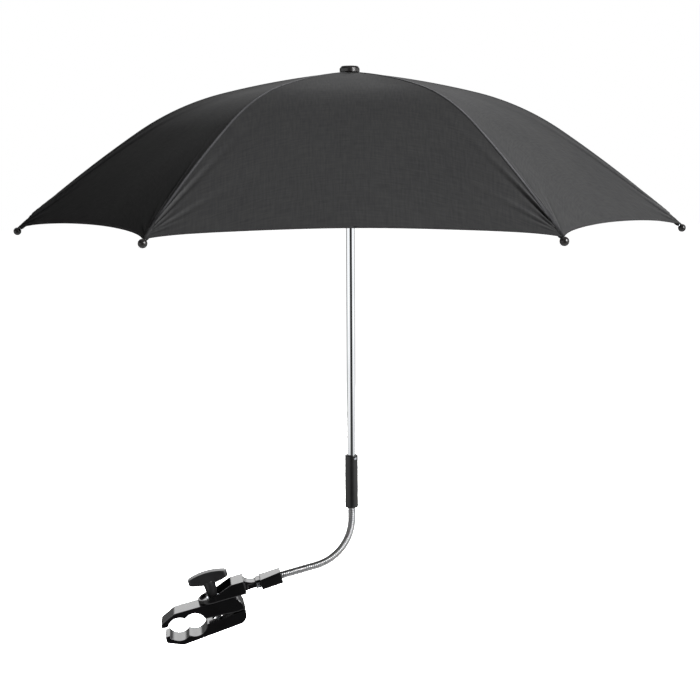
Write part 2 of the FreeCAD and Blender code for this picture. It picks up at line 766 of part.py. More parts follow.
RIB_END = rib_point(RIB_REACH, 0)
TIP_WAY = at(cosine(RIB_SLOPES[-1]), 0, -sine(RIB_SLOPES[-1]))
BALL_CENTRE = RIB_END + TIP_WAY * TIP_REACH
JOINT = rib_point(STRETCHER_REACH, 0)
LINK_LENGTH = (JOINT - at(PIVOT_RADIUS, 0, 0)).Length
LINK_SLOPE = math.degrees(math.atan2(-JOINT.z, JOINT.x - PIVOT_RADIUS))
RUNNER_LEVEL = 2 * JOINT.z
RUNNER_TRAVEL = 2 * LINK_LENGTH * (sine(LINK_SLOPE + FOLD_ANGLE) - sine(LINK_SLOPE))
RUNNER_BASE = RUNNER_LEVEL + RUNNER_ABOVE - RUNNER_LENGTH
CATCH_TOP = RUNNER_BASE - CATCH_DROP
FORK_WIDTH = RIB_WIDTH + 2 * SLIDE


def rib():
    """A fluted steel rib with a flat eye at the crown and a round stub at the tip."""
    start = PIVOT_RADIUS + EYE_NECK
    channel = rib_band(start, RIB_REACH, -RIB_BELOW, RIB_ABOVE, RIB_WIDTH)
    flute = rib_band(
        start + EYE_NECK, RIB_REACH, -2 * RIB_BELOW, RIB_ABOVE - RIB_WALL, RIB_WIDTH - 2 * RIB_WALL,
    )
    plate = rib_band(PIVOT_RADIUS, start + RIB_WIDTH, -RIB_BELOW, RIB_ABOVE, EYE_THICKNESS)
    eye = cross_rod(EYE_OUTER, PIVOT_RADIUS, 0, -EYE_THICKNESS / 2, EYE_THICKNESS / 2)
    stub = rod(STUB_RADIUS, RIB_END - TIP_WAY * BALL_RADIUS, BALL_CENTRE)
    hole = cross_rod(WIRE_RADIUS + RUNNING, PIVOT_RADIUS, 0, -RIB_WIDTH, RIB_WIDTH)
    rivet_hole = cross_rod(RIVET_RADIUS + PRESS, JOINT.x, JOINT.z, -RIB_WIDTH, RIB_WIDTH)
    return channel.cut(flute).fuse([plate, eye, stub]).cut(hole).cut(rivet_hole)


def rib_tip():
    """The ball on the end of a rib."""
    ball = Part.makeSphere(BALL_RADIUS, BALL_CENTRE)
    return ball.cut(rod(STUB_RADIUS + PRESS, RIB_END, BALL_CENTRE + TIP_WAY * PRESS))


def rib_rivet():
    """The rivet between a rib and its stretcher, with a head at each end."""
    side = FORK_WIDTH / 2 + STRETCHER_WALL + RUNNING
    rivet = cross_rod(RIVET_RADIUS, JOINT.x, JOINT.z, -side, side)
    for near, far in ((side, side + RIVET_HEAD_HEIGHT), (-side - RIVET_HEAD_HEIGHT, -side)):
        rivet = rivet.fuse(cross_rod(RIVET_HEAD, JOINT.x, JOINT.z, near, far))
    return rivet


def stretcher():
    """A stretcher: a thin tongue at the runner, a channel, and a fork astride the rib."""
    outer = FORK_WIDTH / 2 + STRETCHER_WALL
    half = STRETCHER_HEIGHT / 2
    channel = block(STRETCHER_TONGUE, LINK_LENGTH, -outer, outer, -half, half)
    channel = channel.fuse(cross_rod(half, LINK_LENGTH, 0, -outer, outer))
    flute = block(
        STRETCHER_TONGUE + FORK_LENGTH, LINK_LENGTH + STRETCHER_HEIGHT,
        -FORK_WIDTH / 2, FORK_WIDTH / 2,
        -half + STRETCHER_WALL, STRETCHER_HEIGHT,
    )
    fork = block(
        LINK_LENGTH - FORK_LENGTH, LINK_LENGTH + STRETCHER_HEIGHT,
        -FORK_WIDTH / 2, FORK_WIDTH / 2,
        -STRETCHER_HEIGHT, STRETCHER_HEIGHT,
    )
    tongue = block(
        0, STRETCHER_TONGUE + EYE_THICKNESS,
        -EYE_THICKNESS / 2, EYE_THICKNESS / 2,
        -half, half,
    )
    eye = cross_rod(EYE_OUTER, 0, 0, -EYE_THICKNESS / 2, EYE_THICKNESS / 2)
    bar = channel.cut(flute).cut(fork).fuse([tongue, eye])
    bar = bar.cut(cross_rod(WIRE_RADIUS + RUNNING, 0, 0, -outer, outer))
    bar = bar.cut(cross_rod(RIVET_RADIUS + RUNNING, LINK_LENGTH, 0, -2 * outer, 2 * outer))
    bar.rotate(ORIGIN, ALONG_Y, -LINK_SLOPE)
    return moved(bar, at(PIVOT_RADIUS, 0, RUNNER_LEVEL))


# Crown, cap, runner and catch
def ring_wire(radius):
    """The wire that the ribs swing on, bent to one straight side for each rib."""
    corner = PIVOT_RADIUS / cosine(180 / RIB_COUNT)
    corners = []
    for number in range(RIB_COUNT):
        azimuth = (number + 0.5) * 360 / RIB_COUNT
        corners.append(at(corner * cosine(azimuth), corner * sine(azimuth), 0))
    pieces = [Part.makeSphere(radius, spot) for spot in corners]
    pieces += [rod(radius, corners[number - 1], spot) for number, spot in enumerate(corners)]
    return pieces[0].fuse(pieces[1:]).removeSplitter()


def rib_slots(width, start, bottom, top):
    """One slot for each rib, from a radius outwards."""
    slot = block(start, 2 * CROWN_RADIUS + start, -width / 2, width / 2, bottom, top)
    slots = [spun(slot, number * 360 / RIB_COUNT) for number in range(RIB_COUNT)]
    return slots[0].fuse(slots[1:])


def top_crown():
    """The notched crown on the mast's top."""
    bore = MAST_RADIUS + PRESS
    crown = turned([
        (bore, CROWN_ABOVE), (CROWN_RADIUS - CROWN_ABOVE, CROWN_ABOVE), (CROWN_RADIUS, 0),
        (CROWN_RADIUS, -CROWN_BELOW + CROWN_ABOVE), (CROWN_RADIUS - CROWN_ABOVE, -CROWN_BELOW),
        (CROWN_SKIRT_RADIUS, -CROWN_BELOW), (CROWN_SKIRT_RADIUS, -CROWN_BELOW - CROWN_SKIRT),
        (bore, -CROWN_BELOW - CROWN_SKIRT),
    ])
    width = EYE_THICKNESS + 2 * SLIDE
    slots = rib_slots(width, CROWN_SKIRT_RADIUS + SLIDE, -2 * CROWN_BELOW, 2 * CROWN_ABOVE)
    return crown.cut(slots).cut(ring_wire(WIRE_RADIUS + PRESS))


def top_cap():
    """The domed cap over the canopy's middle, with its stem in the mast."""
    seat = rib_point(CLOTH_HOLE, CLOTH_TOP).z + CLEAR
    stem = MAST_RADIUS - MAST_WALL - PRESS
    top = seat + CAP_HEIGHT
    cap = turned([
        (0, CROWN_ABOVE - CAP_STEM), (stem, CROWN_ABOVE - CAP_STEM), (stem, CROWN_ABOVE),
        (CAP_BOSS_RADIUS, CROWN_ABOVE), (CAP_BOSS_RADIUS, seat), (CAP_RADIUS, seat),
        (CAP_RADIUS, top - CAP_ROUND), (CAP_RADIUS - CAP_SHOULDER, top), (0, top),
    ])
    shoulder = [e for e in cap.Edges if e.BoundBox.ZMin > top - CAP_ROUND - SLIDE and e.Closed]
    return cap.makeFillet(CAP_SHOULDER, shoulder)


def runner():
    """The runner: a slotted flange for the stretchers, a barrel and a finger collar."""
    bore = MAST_RADIUS + 2 * RUNNING
    base = RUNNER_ABOVE - RUNNER_LENGTH
    lip = RUNNER_COLLAR_RADIUS - RUNNER_RADIUS
    body = turned([
        (bore, RUNNER_ABOVE), (RUNNER_FLANGE_RADIUS, RUNNER_ABOVE),
        (RUNNER_FLANGE_RADIUS, -RUNNER_BELOW / 2), (RUNNER_RADIUS, -RUNNER_BELOW),
        (RUNNER_RADIUS, base + RUNNER_COLLAR + lip), (RUNNER_COLLAR_RADIUS, base + RUNNER_COLLAR),
        (RUNNER_COLLAR_RADIUS, base + lip), (RUNNER_RADIUS, base), (bore, base),
    ])
    slots = rib_slots(EYE_THICKNESS + 2 * CLEAR, RUNNER_RADIUS, -2 * RUNNER_BELOW, 2 * RUNNER_ABOVE)
    half = CATCH_WIDTH / 2 + CLEAR
    keyway = block(0, MAST_RADIUS + CATCH_PROUD + CLEAR, -half, half, 2 * base, -2 * base)
    body = body.cut(slots).cut(spun(keyway, CATCH_AZIMUTH - CANOPY_TURN))
    return moved(body, at(0, 0, RUNNER_LEVEL))


def runner_catch():
    """The sprung catch in the mast: a flat ledge under the runner and a ramp below it."""
    inner = MAST_RADIUS - MAST_WALL - CATCH_DEPTH
    outer = MAST_RADIUS + CATCH_PROUD
    outline = rounded_face([
        (inner, CATCH_TOP, 0), (outer, CATCH_TOP, 0), (outer, CATCH_TOP - CATCH_PROUD, 0),
        (MAST_RADIUS, CATCH_TOP - CATCH_LENGTH, 0), (inner, CATCH_TOP - CATCH_LENGTH, 0),
    ])
    return spun(prism(outline, CATCH_WIDTH), CATCH_AZIMUTH)


# Canopy: one gore to each rib, from mid-panel to mid-panel
CLOTH_TOP = RIB_ABOVE + CLOTH_GAP + CLOTH_THICKNESS
HALF_PANEL = 180 / RIB_COUNT


def cloth_point(share, strip):
    """The cloth's upper side: share runs from the crown to the hem, strip from rib to mid-panel."""
    drawn_in = strip * (2 - strip)
    hem = RIB_REACH - HEM_SCALLOP * cosine(RIB_SLOPES[-1]) * drawn_in
    reach = CLOTH_HOLE + (hem - CLOTH_HOLE) * share
    here = rib_point(reach, CLOTH_TOP)
    ahead = at(here.x * cosine(2 * HALF_PANEL), here.x * sine(2 * HALF_PANEL), here.z)
    chord = here + (ahead - here) * (strip / 2)
    pitch = math.atan(math.tan(math.radians(rib_slope(reach)[1])) / cosine(HALF_PANEL))
    sag = CLOTH_SAG * drawn_in * share * (2 - share)
    inward = at(
        math.sin(pitch) * cosine(HALF_PANEL), math.sin(pitch) * sine(HALF_PANEL), math.cos(pitch),
    )
    seam = at(-sine(HALF_PANEL), cosine(HALF_PANEL), 0) * (GORE_GAP / 2 * strip)
    return chord - inward * sag - seam


def canopy_gore():
    """A gore: two smooth half panels that meet in a ridge over the rib."""
    grid = []
    for step in range(CLOTH_STEPS):
        share = step / (CLOTH_STEPS - 1)
        grid.append([cloth_point(share, n / (CLOTH_STRIPS - 1)) for n in range(CLOTH_STRIPS)])
    surface = Part.BSplineSurface()
    surface.interpolate(grid)
    half = surface.toShape().extrude(at(0, 0, -CLOTH_THICKNESS))
    return half.fuse(half.mirror(ORIGIN, ALONG_Y))


# Every piece by name, in the part's frame
def placed(shape, azimuth=0.0):
    """Carry a shape from the mast's frame into the part's frame."""
    return moved(spun(shape, azimuth), at(MAST_X, 0, CROWN_HEIGHT))


def all_pieces():
    """All pieces of the parasol by node name."""
    pieces = {make.__name__: tilted(make()) for make in (
        upper_jaw, lower_jaw, jaw_hinge_pin, clamp_screw, clamp_nut, screw_washer, clamp_knob,
        arm_bracket, connector_neck, release_button, neck_socket,
    )}
    middle_end = HOSE_LOWER + HOSE_MIDDLE
    pieces["gooseneck_lower"] = hose_piece(0, HOSE_LOWER)
    pieces["gooseneck_middle"] = hose_piece(HOSE_LOWER + HOSE_JOIN_GAP, middle_end)
    pieces["gooseneck_upper"] = hose_piece(middle_end + HOSE_JOIN_GAP, HOSE_LENGTH)
    for make in (mast_sleeve, sleeve_pin, mast, top_cap, runner_catch):
        pieces[make.__name__] = placed(make())
    for make in (top_crown, runner):
        pieces[make.__name__] = placed(make(), CANOPY_TURN)
    pieces["crown_wire"] = placed(ring_wire(WIRE_RADIUS), CANOPY_TURN)
    for make in (rib, rib_rivet, rib_tip, stretcher, canopy_gore):
        shape = make()
        for number in range(RIB_COUNT):
            azimuth = CANOPY_TURN + number * 360 / RIB_COUNT
            pieces[f"{make.__name__}_{number + 1}"] = placed(shape, azimuth)
    return pieces


os.makedirs("parts", exist_ok=True)
for node, shape in all_pieces().items():
    shape.exportStep(f"parts/{node}.step")
print(f"mast x {MAST_X:.4f} sleeve bottom {SLEEVE_BOTTOM:.4f} rib pivots z {CROWN_HEIGHT:.4f}")
print(f"link length {LINK_LENGTH:.4f} link slope {LINK_SLOPE:.4f} joint {JOINT.x:.4f} {JOINT.z:.4f}")
print(f"runner travel {RUNNER_TRAVEL:.4f} runner level {RUNNER_LEVEL:.4f} catch top {CATCH_TOP:.4f}")
print(f"gooseneck length {HOSE_LENGTH:.4f} ball {BALL_CENTRE.x:.3f} {BALL_CENTRE.z:.3f}")
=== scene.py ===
"""A pram parasol: a six-rib cloth canopy on a chromed mast, a wound steel gooseneck and a tube clamp."""
import json
import logging
import math
from dataclasses import dataclass
from enum import Enum
from functools import cached_property
from typing import Callable, Optional

import bmesh
import bpy
from mathutils import Matrix, Vector


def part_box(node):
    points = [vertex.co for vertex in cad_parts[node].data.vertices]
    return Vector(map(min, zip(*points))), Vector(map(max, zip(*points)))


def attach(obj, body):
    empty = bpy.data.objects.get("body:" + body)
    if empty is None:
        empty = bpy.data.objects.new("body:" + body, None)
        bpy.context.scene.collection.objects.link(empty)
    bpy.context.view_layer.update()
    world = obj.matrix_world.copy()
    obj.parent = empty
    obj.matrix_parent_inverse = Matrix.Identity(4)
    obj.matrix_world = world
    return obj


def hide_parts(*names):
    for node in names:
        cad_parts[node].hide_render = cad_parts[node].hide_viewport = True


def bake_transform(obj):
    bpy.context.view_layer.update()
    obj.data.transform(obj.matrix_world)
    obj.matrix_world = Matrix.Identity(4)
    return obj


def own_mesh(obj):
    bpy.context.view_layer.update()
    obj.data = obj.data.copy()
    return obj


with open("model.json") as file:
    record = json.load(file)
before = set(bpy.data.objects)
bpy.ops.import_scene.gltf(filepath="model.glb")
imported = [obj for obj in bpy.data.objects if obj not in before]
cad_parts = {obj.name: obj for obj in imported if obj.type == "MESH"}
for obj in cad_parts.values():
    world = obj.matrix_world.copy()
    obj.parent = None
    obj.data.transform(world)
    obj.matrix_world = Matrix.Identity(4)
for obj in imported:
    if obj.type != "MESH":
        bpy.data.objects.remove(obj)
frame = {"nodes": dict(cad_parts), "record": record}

LOG = logging.getLogger("parasol")
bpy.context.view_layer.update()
MM = 0.001
TINY = 1e-6
# The cloth's flat map, and its layer of painted highlight and painted shade on the folds and seams
FLAT_MAP = "flat"
PAINTED_LIGHT_LAYER = "painted_light"
# Distance between the bands of a wave texture at a scale of one
WAVE_PERIOD = math.pi / 10
# Sockets of a Mix node that blends colours
MIX_SHARE, MIX_FIRST, MIX_SECOND, MIX_RESULT = 0, 6, 7, 2

Colour = tuple[float, float, float, float]
Profile = tuple[tuple[float, float], ...]
WHITE: Colour = (1.0, 1.0, 1.0, 1.0)


class Slot(Enum):
    """The record's material slots."""

    ABS = "gloss_black_abs"
    NYLON = "satin_black_nylon"
    BALL = "gloss_ball"
    CHROME = "chromed_steel"
    WOUND_STEEL = "ribbed_steel"
    ZINC = "zinc_steel"
    CLOTH = "black_cloth"


def linear(colour: str) -> Colour:
    """Turn an sRGB hex colour into linear RGBA.

    Args:
        colour: Six hex digits after a hash.

    Returns:
        Red, green, blue and an alpha of one.
    """
    shares = [int(colour[i:i + 2], 16) / 255 for i in (1, 3, 5)]
    light = [c / 12.92 if c <= 0.04045 else ((c + 0.055) / 1.055) ** 2.4 for c in shares]
    return (light[0], light[1], light[2], 1.0)


def set_stops(ramp: bpy.types.ColorRamp, stops: dict[float, Colour]) -> None:
    """Give a colour ramp its colours.

    Args:
        ramp: The ramp, with two points to begin with.
        stops: Colours by their places from 0 to 1.
    """
    points = ramp.elements
    while len(points) < len(stops):
        points.new(0.5)
    for point, (place, colour) in zip(points, sorted(stops.items())):
        point.position = place
        point.color = colour


def add_node(
    tree: bpy.types.NodeTree,
    kind: str,
    settings: Optional[dict] = None,
    links: Optional[dict] = None,
) -> bpy.types.Node:
    """Add one node to a tree.

    Args:
        tree: The tree that gets the node.
        kind: The node's type name.
        settings: Values by attribute name, or by the name or number of an input socket. A colour ramp's
            stops are its colours by place.
        links: Output sockets by the name or number of the input that they feed.

    Returns:
        The new node.
    """
    node = tree.nodes.new(kind)
    for name, value in (settings or {}).items():
        if name == "stops":
            set_stops(node.color_ramp, value)
        elif isinstance(name, int) or name in node.inputs:
            node.inputs[name].default_value = value
        else:
            setattr(node, name, value)
    for socket, output in (links or {}).items():
        tree.links.new(output, node.inputs[socket])
    return node


def new_surface(name: str) -> tuple[bpy.types.Material, bpy.types.NodeTree, bpy.types.Node]:
    """Start a material with a bare principled shader.

    Args:
        name: The material's name.

    Returns:
        The material, its node tree and its shader.
    """
    material = bpy.data.materials.new(name)
    material.use_nodes = True
    tree = material.node_tree
    return material, tree, tree.nodes["Principled BSDF"]


@dataclass(frozen=True)
class HardSurface:
    """A hard finish whose tone and roughness wander together from place to place."""

    name: str
    shade: str
    bloom: str
    roughness: float
    spread: float

    def wander(
        self, tree: bpy.types.NodeTree, shader: bpy.types.Node,
        noise: bpy.types.NodeSocket, span: tuple[float, float],
    ) -> None:
        """Let the tone and the roughness follow a noise.

        Args:
            tree: The material's node tree.
            shader: Its principled shader.
            noise: The noise's socket, from 0 to 1.
            span: The noise's values at which the shade and the bloom are pure.
        """
        tone = add_node(
            tree, "ShaderNodeValToRGB",
            {"stops": {span[0]: linear(self.shade), span[1]: linear(self.bloom)}}, {"Fac": noise},
        )
        rough = add_node(
            tree, "ShaderNodeMapRange",
            {"To Min": self.roughness - self.spread, "To Max": self.roughness + self.spread},
            {"Value": noise},
        )
        tree.links.new(tone.outputs["Color"], shader.inputs["Base Color"])
        tree.links.new(rough.outputs["Result"], shader.inputs["Roughness"])


@dataclass(frozen=True)
class MouldedPlastic(HardSurface):
    """Injection-moulded plastic: a dark body whose skin has faint flow marks, fine grain and eased edges."""

    grain_mm: float
    grain_depth_mm: float
    edge_mm: float = 0.7
    edge_samples: int = 8
    flow_mm: float = 14.0
    flow_span: tuple[float, float] = (0.35, 0.75)
    grain_strength: float = 0.35
    ior: float = 1.53

    def material(self) -> bpy.types.Material:
        """Build the material."""
        material, tree, shader = new_surface(self.name)
        place = add_node(tree, "ShaderNodeTexCoord").outputs["Object"]
        flow = add_node(
            tree, "ShaderNodeTexNoise", {"Scale": 1 / (self.flow_mm * MM), "Detail": 3.0}, {"Vector": place},
        )
        grain = add_node(
            tree, "ShaderNodeTexNoise", {"Scale": 1 / (self.grain_mm * MM), "Detail": 2.0}, {"Vector": place},
        )
        self.wander(tree, shader, flow.outputs["Fac"], self.flow_span)
        edges = add_node(tree, "ShaderNodeBevel", {"samples": self.edge_samples, "Radius": self.edge_mm * MM})
        bump = add_node(
            tree, "ShaderNodeBump", {"Strength": self.grain_strength, "Distance": self.grain_depth_mm * MM},
            {"Height": grain.outputs["Fac"], "Normal": edges.outputs["Normal"]},
        )
        tree.links.new(bump.outputs["Normal"], shader.inputs["Normal"])
        shader.inputs["IOR"].default_value = self.ior
        return material


@dataclass(frozen=True)
class BrightMetal(HardSurface):
    """Bright metal: drawn, plated or wound, with fine marks that may run out along one axis."""

    mark_mm: float
    stretch: tuple[float, float, float] = (1.0, 1.0, 1.0)
    mark_depth_mm: float = 0.01
    mark_span: tuple[float, float] = (0.3, 0.7)
    mark_strength: float = 0.25

    def material(self) -> bpy.types.Material:
        """Build the material."""
        material, tree, shader = new_surface(self.name)
        place = add_node(tree, "ShaderNodeTexCoord").outputs["Object"]
        drawn = add_node(tree, "ShaderNodeMapping", {"Scale": self.stretch}, {"Vector": place})
        marks = add_node(
            tree, "ShaderNodeTexNoise", {"Scale": 1 / (self.mark_mm * MM), "Detail": 3.0},
            {"Vector": drawn.outputs["Vector"]},
        )
        self.wander(tree, shader, marks.outputs["Fac"], self.mark_span)
        bump = add_node(
            tree, "ShaderNodeBump", {"Strength": self.mark_strength, "Distance": self.mark_depth_mm * MM},
            {"Height": marks.outputs["Fac"]},
        )
        tree.links.new(bump.outputs["Normal"], shader.inputs["Normal"])
        shader.inputs["Metallic"].default_value = 1.0
        return material


@dataclass(frozen=True)
class WovenCloth:
    """Plain-woven polyester, dyed black: threads both ways, uneven along their length, with a faint sheen.

    The threads are drawn coarser than the real 0.3 mm, because the real ones are too fine to show. A slub is
    a thick place in a thread, with a size across the thread and one along it.
    """

    name: str
    warp: str
    weft: str
    thread_mm: float
    thread_depth_mm: float
    patch_mm: float = 90.0
    patch_share: float = 0.2
    slub_mm: tuple[float, float] = (2.0, 20.0)
    tone_span: tuple[float, float] = (0.36, 0.64)
    # How strongly the layer of painted highlight and painted shade lifts or lowers the colour
    painted_light_share: float = 0.8
    weave_strength: float = 0.3
    roughness: float = 0.72
    sheen: float = 0.017
    sheen_roughness: float = 0.45
    gloss: float = 0.0
    ior: float = 1.46

    def tone(self, tree: bpy.types.NodeTree, flat: bpy.types.NodeSocket) -> bpy.types.NodeSocket:
        """The threads' uneven colour, lifted by painted highlight and lowered by painted shade from the
        layer.

        Args:
            tree: The material's node tree.
            flat: The flat map's socket.

        Returns:
            The colour's socket.
        """
        short, long = self.slub_mm
        patch = add_node(
            tree, "ShaderNodeTexNoise", {"Scale": 1 / (self.patch_mm * MM), "Detail": 4.0}, {"Vector": flat},
        )
        uneven = add_node(
            tree, "ShaderNodeMath", {"operation": "MULTIPLY", 1: self.patch_share}, {0: patch.outputs["Fac"]},
        )
        for stretch in ((1.0, short / long, 1.0), (short / long, 1.0, 1.0)):
            drawn = add_node(tree, "ShaderNodeMapping", {"Scale": stretch}, {"Vector": flat})
            slub = add_node(
                tree, "ShaderNodeTexNoise", {"Scale": 1 / (short * MM), "Detail": 2.0},
                {"Vector": drawn.outputs["Vector"]},
            )
            uneven = add_node(
                tree, "ShaderNodeMath", {"operation": "MULTIPLY_ADD", 1: (1 - self.patch_share) / 2},
                {0: slub.outputs["Fac"], 2: uneven.outputs["Value"]},
            )
        threads = add_node(
            tree, "ShaderNodeValToRGB",
            {"stops": {self.tone_span[0]: linear(self.warp), self.tone_span[1]: linear(self.weft)}},
            {"Fac": uneven.outputs["Value"]},
        )
        # Painted highlight on fold ridges and painted shade in hollows and at seam sides scale the colour
        lit_and_shaded = add_node(tree, "ShaderNodeAttribute", {"attribute_name": PAINTED_LIGHT_LAYER})
        level = add_node(
            tree, "ShaderNodeMath", {"operation": "MULTIPLY_ADD", 1: self.painted_light_share, 2: 1.0},
            {0: lit_and_shaded.outputs["Fac"]},
        )
        toned = add_node(
            tree, "ShaderNodeVectorMath", {"operation": "SCALE"},
            {0: threads.outputs["Color"], "Scale": level.outputs["Value"]},
        )
        return toned.outputs["Vector"]

    def weave(self, tree: bpy.types.NodeTree, flat: bpy.types.NodeSocket) -> bpy.types.NodeSocket:
        """The relief of the crossing threads.

        Args:
            tree: The material's node tree.
            flat: The flat map's socket.

        Returns:
            The normal's socket.
        """
        waves = [
            add_node(
                tree, "ShaderNodeTexWave",
                {"wave_type": "BANDS", "bands_direction": direction,
                 "Scale": WAVE_PERIOD / (self.thread_mm * MM), "Distortion": 0.4, "Detail": 1.0},
                {"Vector": flat},
            )
            for direction in "XY"
        ]
        crossed = add_node(
            tree, "ShaderNodeMath", {"operation": "MULTIPLY"},
            {number: wave.outputs["Fac"] for number, wave in enumerate(waves)},
        )
        bump = add_node(
            tree, "ShaderNodeBump", {"Strength": self.weave_strength, "Distance": self.thread_depth_mm * MM},
            {"Height": crossed.outputs["Value"]},
        )
        return bump.outputs["Normal"]

    def material(self) -> bpy.types.Material:
        """Build the material, on the piece's own flat map in metres."""
        material, tree, shader = new_surface(self.name)
        flat = add_node(tree, "ShaderNodeUVMap", {"uv_map": FLAT_MAP}).outputs["UV"]
        tree.links.new(self.tone(tree, flat), shader.inputs["Base Color"])
        tree.links.new(self.weave(tree, flat), shader.inputs["Normal"])
        shader.inputs["Roughness"].default_value = self.roughness
        shader.inputs["Sheen Weight"].default_value = self.sheen
        shader.inputs["Sheen Roughness"].default_value = self.sheen_roughness
        shader.inputs["Specular IOR Level"].default_value = self.gloss
        shader.inputs["IOR"].default_value = self.ior
        return material


class Finish(Enum):
    """Every finish on the parasol, by the real material that it is."""

    # Gloss ABS, moulded and polished: deep black that mirrors the studio on every flat face
    GLOSS_ABS = MouldedPlastic("gloss moulded ABS", "#080809", "#0d0d0e", 0.13, 0.03, 1.6, 0.01, 1.8)
    # Satin nylon, moulded in a spark-eroded tool: black with a broad soft highlight
    SATIN_NYLON = MouldedPlastic("satin moulded nylon", "#0c0c0d", "#131314", 0.36, 0.05, 0.9, 0.03)
    # Tumbled ABS of the balls and the cap: a little paler and warmer, with a soft round highlight
    BALL = MouldedPlastic("tumbled ABS ball", "#1b1919", "#242121", 0.26, 0.04, 1.2, 0.015)
    # Satin nylon of the knob, rubbed grey by hands: paler than the other plastic, with a broad highlight
    GRIP_NYLON = MouldedPlastic("handled satin nylon", "#1a1a1b", "#232324", 0.34, 0.05, 0.9, 0.03, 1.8)
    # Chromed steel tube: mirror bright, with faint lines along the way that it was drawn
    CHROME = BrightMetal("chromed drawn steel tube", "#d6d9dc", "#e6e8ea", 0.09, 0.03, 1.5, (1.0, 1.0, 0.03))
    # Wound steel strip: bright but a little scuffed
    WOUND = BrightMetal("wound spring steel strip", "#8a8a8b", "#b2b2b3", 0.3, 0.06, 2.0)
    # Zinc-plated steel: pale grey with a cloudy, slightly rough skin
    ZINC = BrightMetal("bright zinc plated steel", "#a9adb3", "#c6cacf", 0.28, 0.07, 2.5)
    # The canopy's woven polyester: charcoal under the lights, with faint slubs along both threads
    CLOTH = WovenCloth("black woven polyester", "#363637", "#3f3f3f", 1.4, 0.07)
    # Sewn folds of the same cloth, three layers, pressed: paler as a painted highlight on the ridge
    SEAM = WovenCloth("seam polyester with painted highlight", "#535355", "#666668", 1.2, 0.1, 30.0)


SLOT_FINISHES = {
    Slot.ABS: Finish.GLOSS_ABS, Slot.NYLON: Finish.SATIN_NYLON, Slot.BALL: Finish.BALL,
    Slot.CHROME: Finish.CHROME, Slot.WOUND_STEEL: Finish.WOUND, Slot.ZINC: Finish.ZINC,
    Slot.CLOTH: Finish.CLOTH,
}
# Pieces whose finish differs from the rest of their slot
NODE_FINISHES = {"clamp_knob": Finish.GRIP_NYLON, "top_cap": Finish.BALL}


@dataclass(frozen=True)
class Palette:
    """One built material for each finish."""

    built: dict[Finish, bpy.types.Material]

    @classmethod
    def mix(cls) -> "Palette":
        """Build every finish once."""
        return cls({finish: finish.value.material() for finish in Finish})

    def dress(self, piece: bpy.types.Object, finish: Finish) -> None:
        """Give a piece one finish all over."""
        if piece.material_slots:
            for slot in piece.material_slots:
                slot.material = self.built[finish]
        else:
            piece.data.materials.append(self.built[finish])

    def dress_frame(self) -> None:
        """Give every solid of the frame its finish."""
        for subpart in frame["record"]["subparts"]:
            node, slot = subpart["node"], Slot(subpart["material_slot"])
            self.dress(frame["nodes"][node], NODE_FINISHES.get(node, SLOT_FINISHES[slot]))
            LOG.info("%s is %s", node, slot.value)


def new_object(name: str, data: bpy.types.ID) -> bpy.types.Object:
    """Put a mesh, a light or a camera in the scene.

    Args:
        name: The object's name.
        data: What it holds.

    Returns:
        The new object, at the origin.
    """
    made = bpy.data.objects.new(name, data)
    bpy.context.scene.collection.objects.link(made)
    return made


def mapped_grid(
    name: str, long_steps: int, cross_steps: int,
    place: Callable[[float, float], Vector],
    flat: Callable[[float, float], tuple[float, float]],
    closed: bool = False,
    painted_light: Optional[Callable[[float, float], float]] = None,
) -> bpy.types.Object:
    """Make a piece by bending a flat grid.

    Args:
        name: The piece's name.
        long_steps: Cells along the first direction.
        cross_steps: Cells along the second direction.
        place: Gives a point in metres for two shares from 0 to 1.
        flat: Gives the flat place on the cloth or strip, in metres, for the same two shares.
        closed: Whether the second direction closes on itself and the ends are filled.
        painted_light: Gives painted highlight (above 0) or painted shade (below 0) for the same two shares.

    Returns:
        The new object.
    """
    half = 0.5
    shape = bmesh.new()
    bmesh.ops.create_grid(shape, x_segments=long_steps, y_segments=cross_steps, size=half)
    layer = shape.loops.layers.uv.new(FLAT_MAP)
    for face in shape.faces:
        for loop in face.loops:
            loop[layer].uv = flat(loop.vert.co.x + half, loop.vert.co.y + half)
        face.smooth = True
    # The layer of painted highlight and painted shade
    lit_and_shaded = shape.verts.layers.float.new(PAINTED_LIGHT_LAYER)
    for vert in shape.verts:
        if painted_light:
            vert[lit_and_shaded] = painted_light(vert.co.x + half, vert.co.y + half)
        vert.co = place(vert.co.x + half, vert.co.y + half)
    if closed:
        bmesh.ops.remove_doubles(shape, verts=shape.verts, dist=TINY)
        rims = [edge for edge in shape.edges if edge.is_boundary]
        bmesh.ops.holes_fill(shape, edges=rims)
    for edge in shape.edges:
        edge.smooth = not edge.is_boundary
    bmesh.ops.recalc_face_normals(shape, faces=shape.faces)
    mesh = bpy.data.meshes.new(name)
    shape.to_mesh(mesh)
    shape.free()
    return new_object(name, mesh)


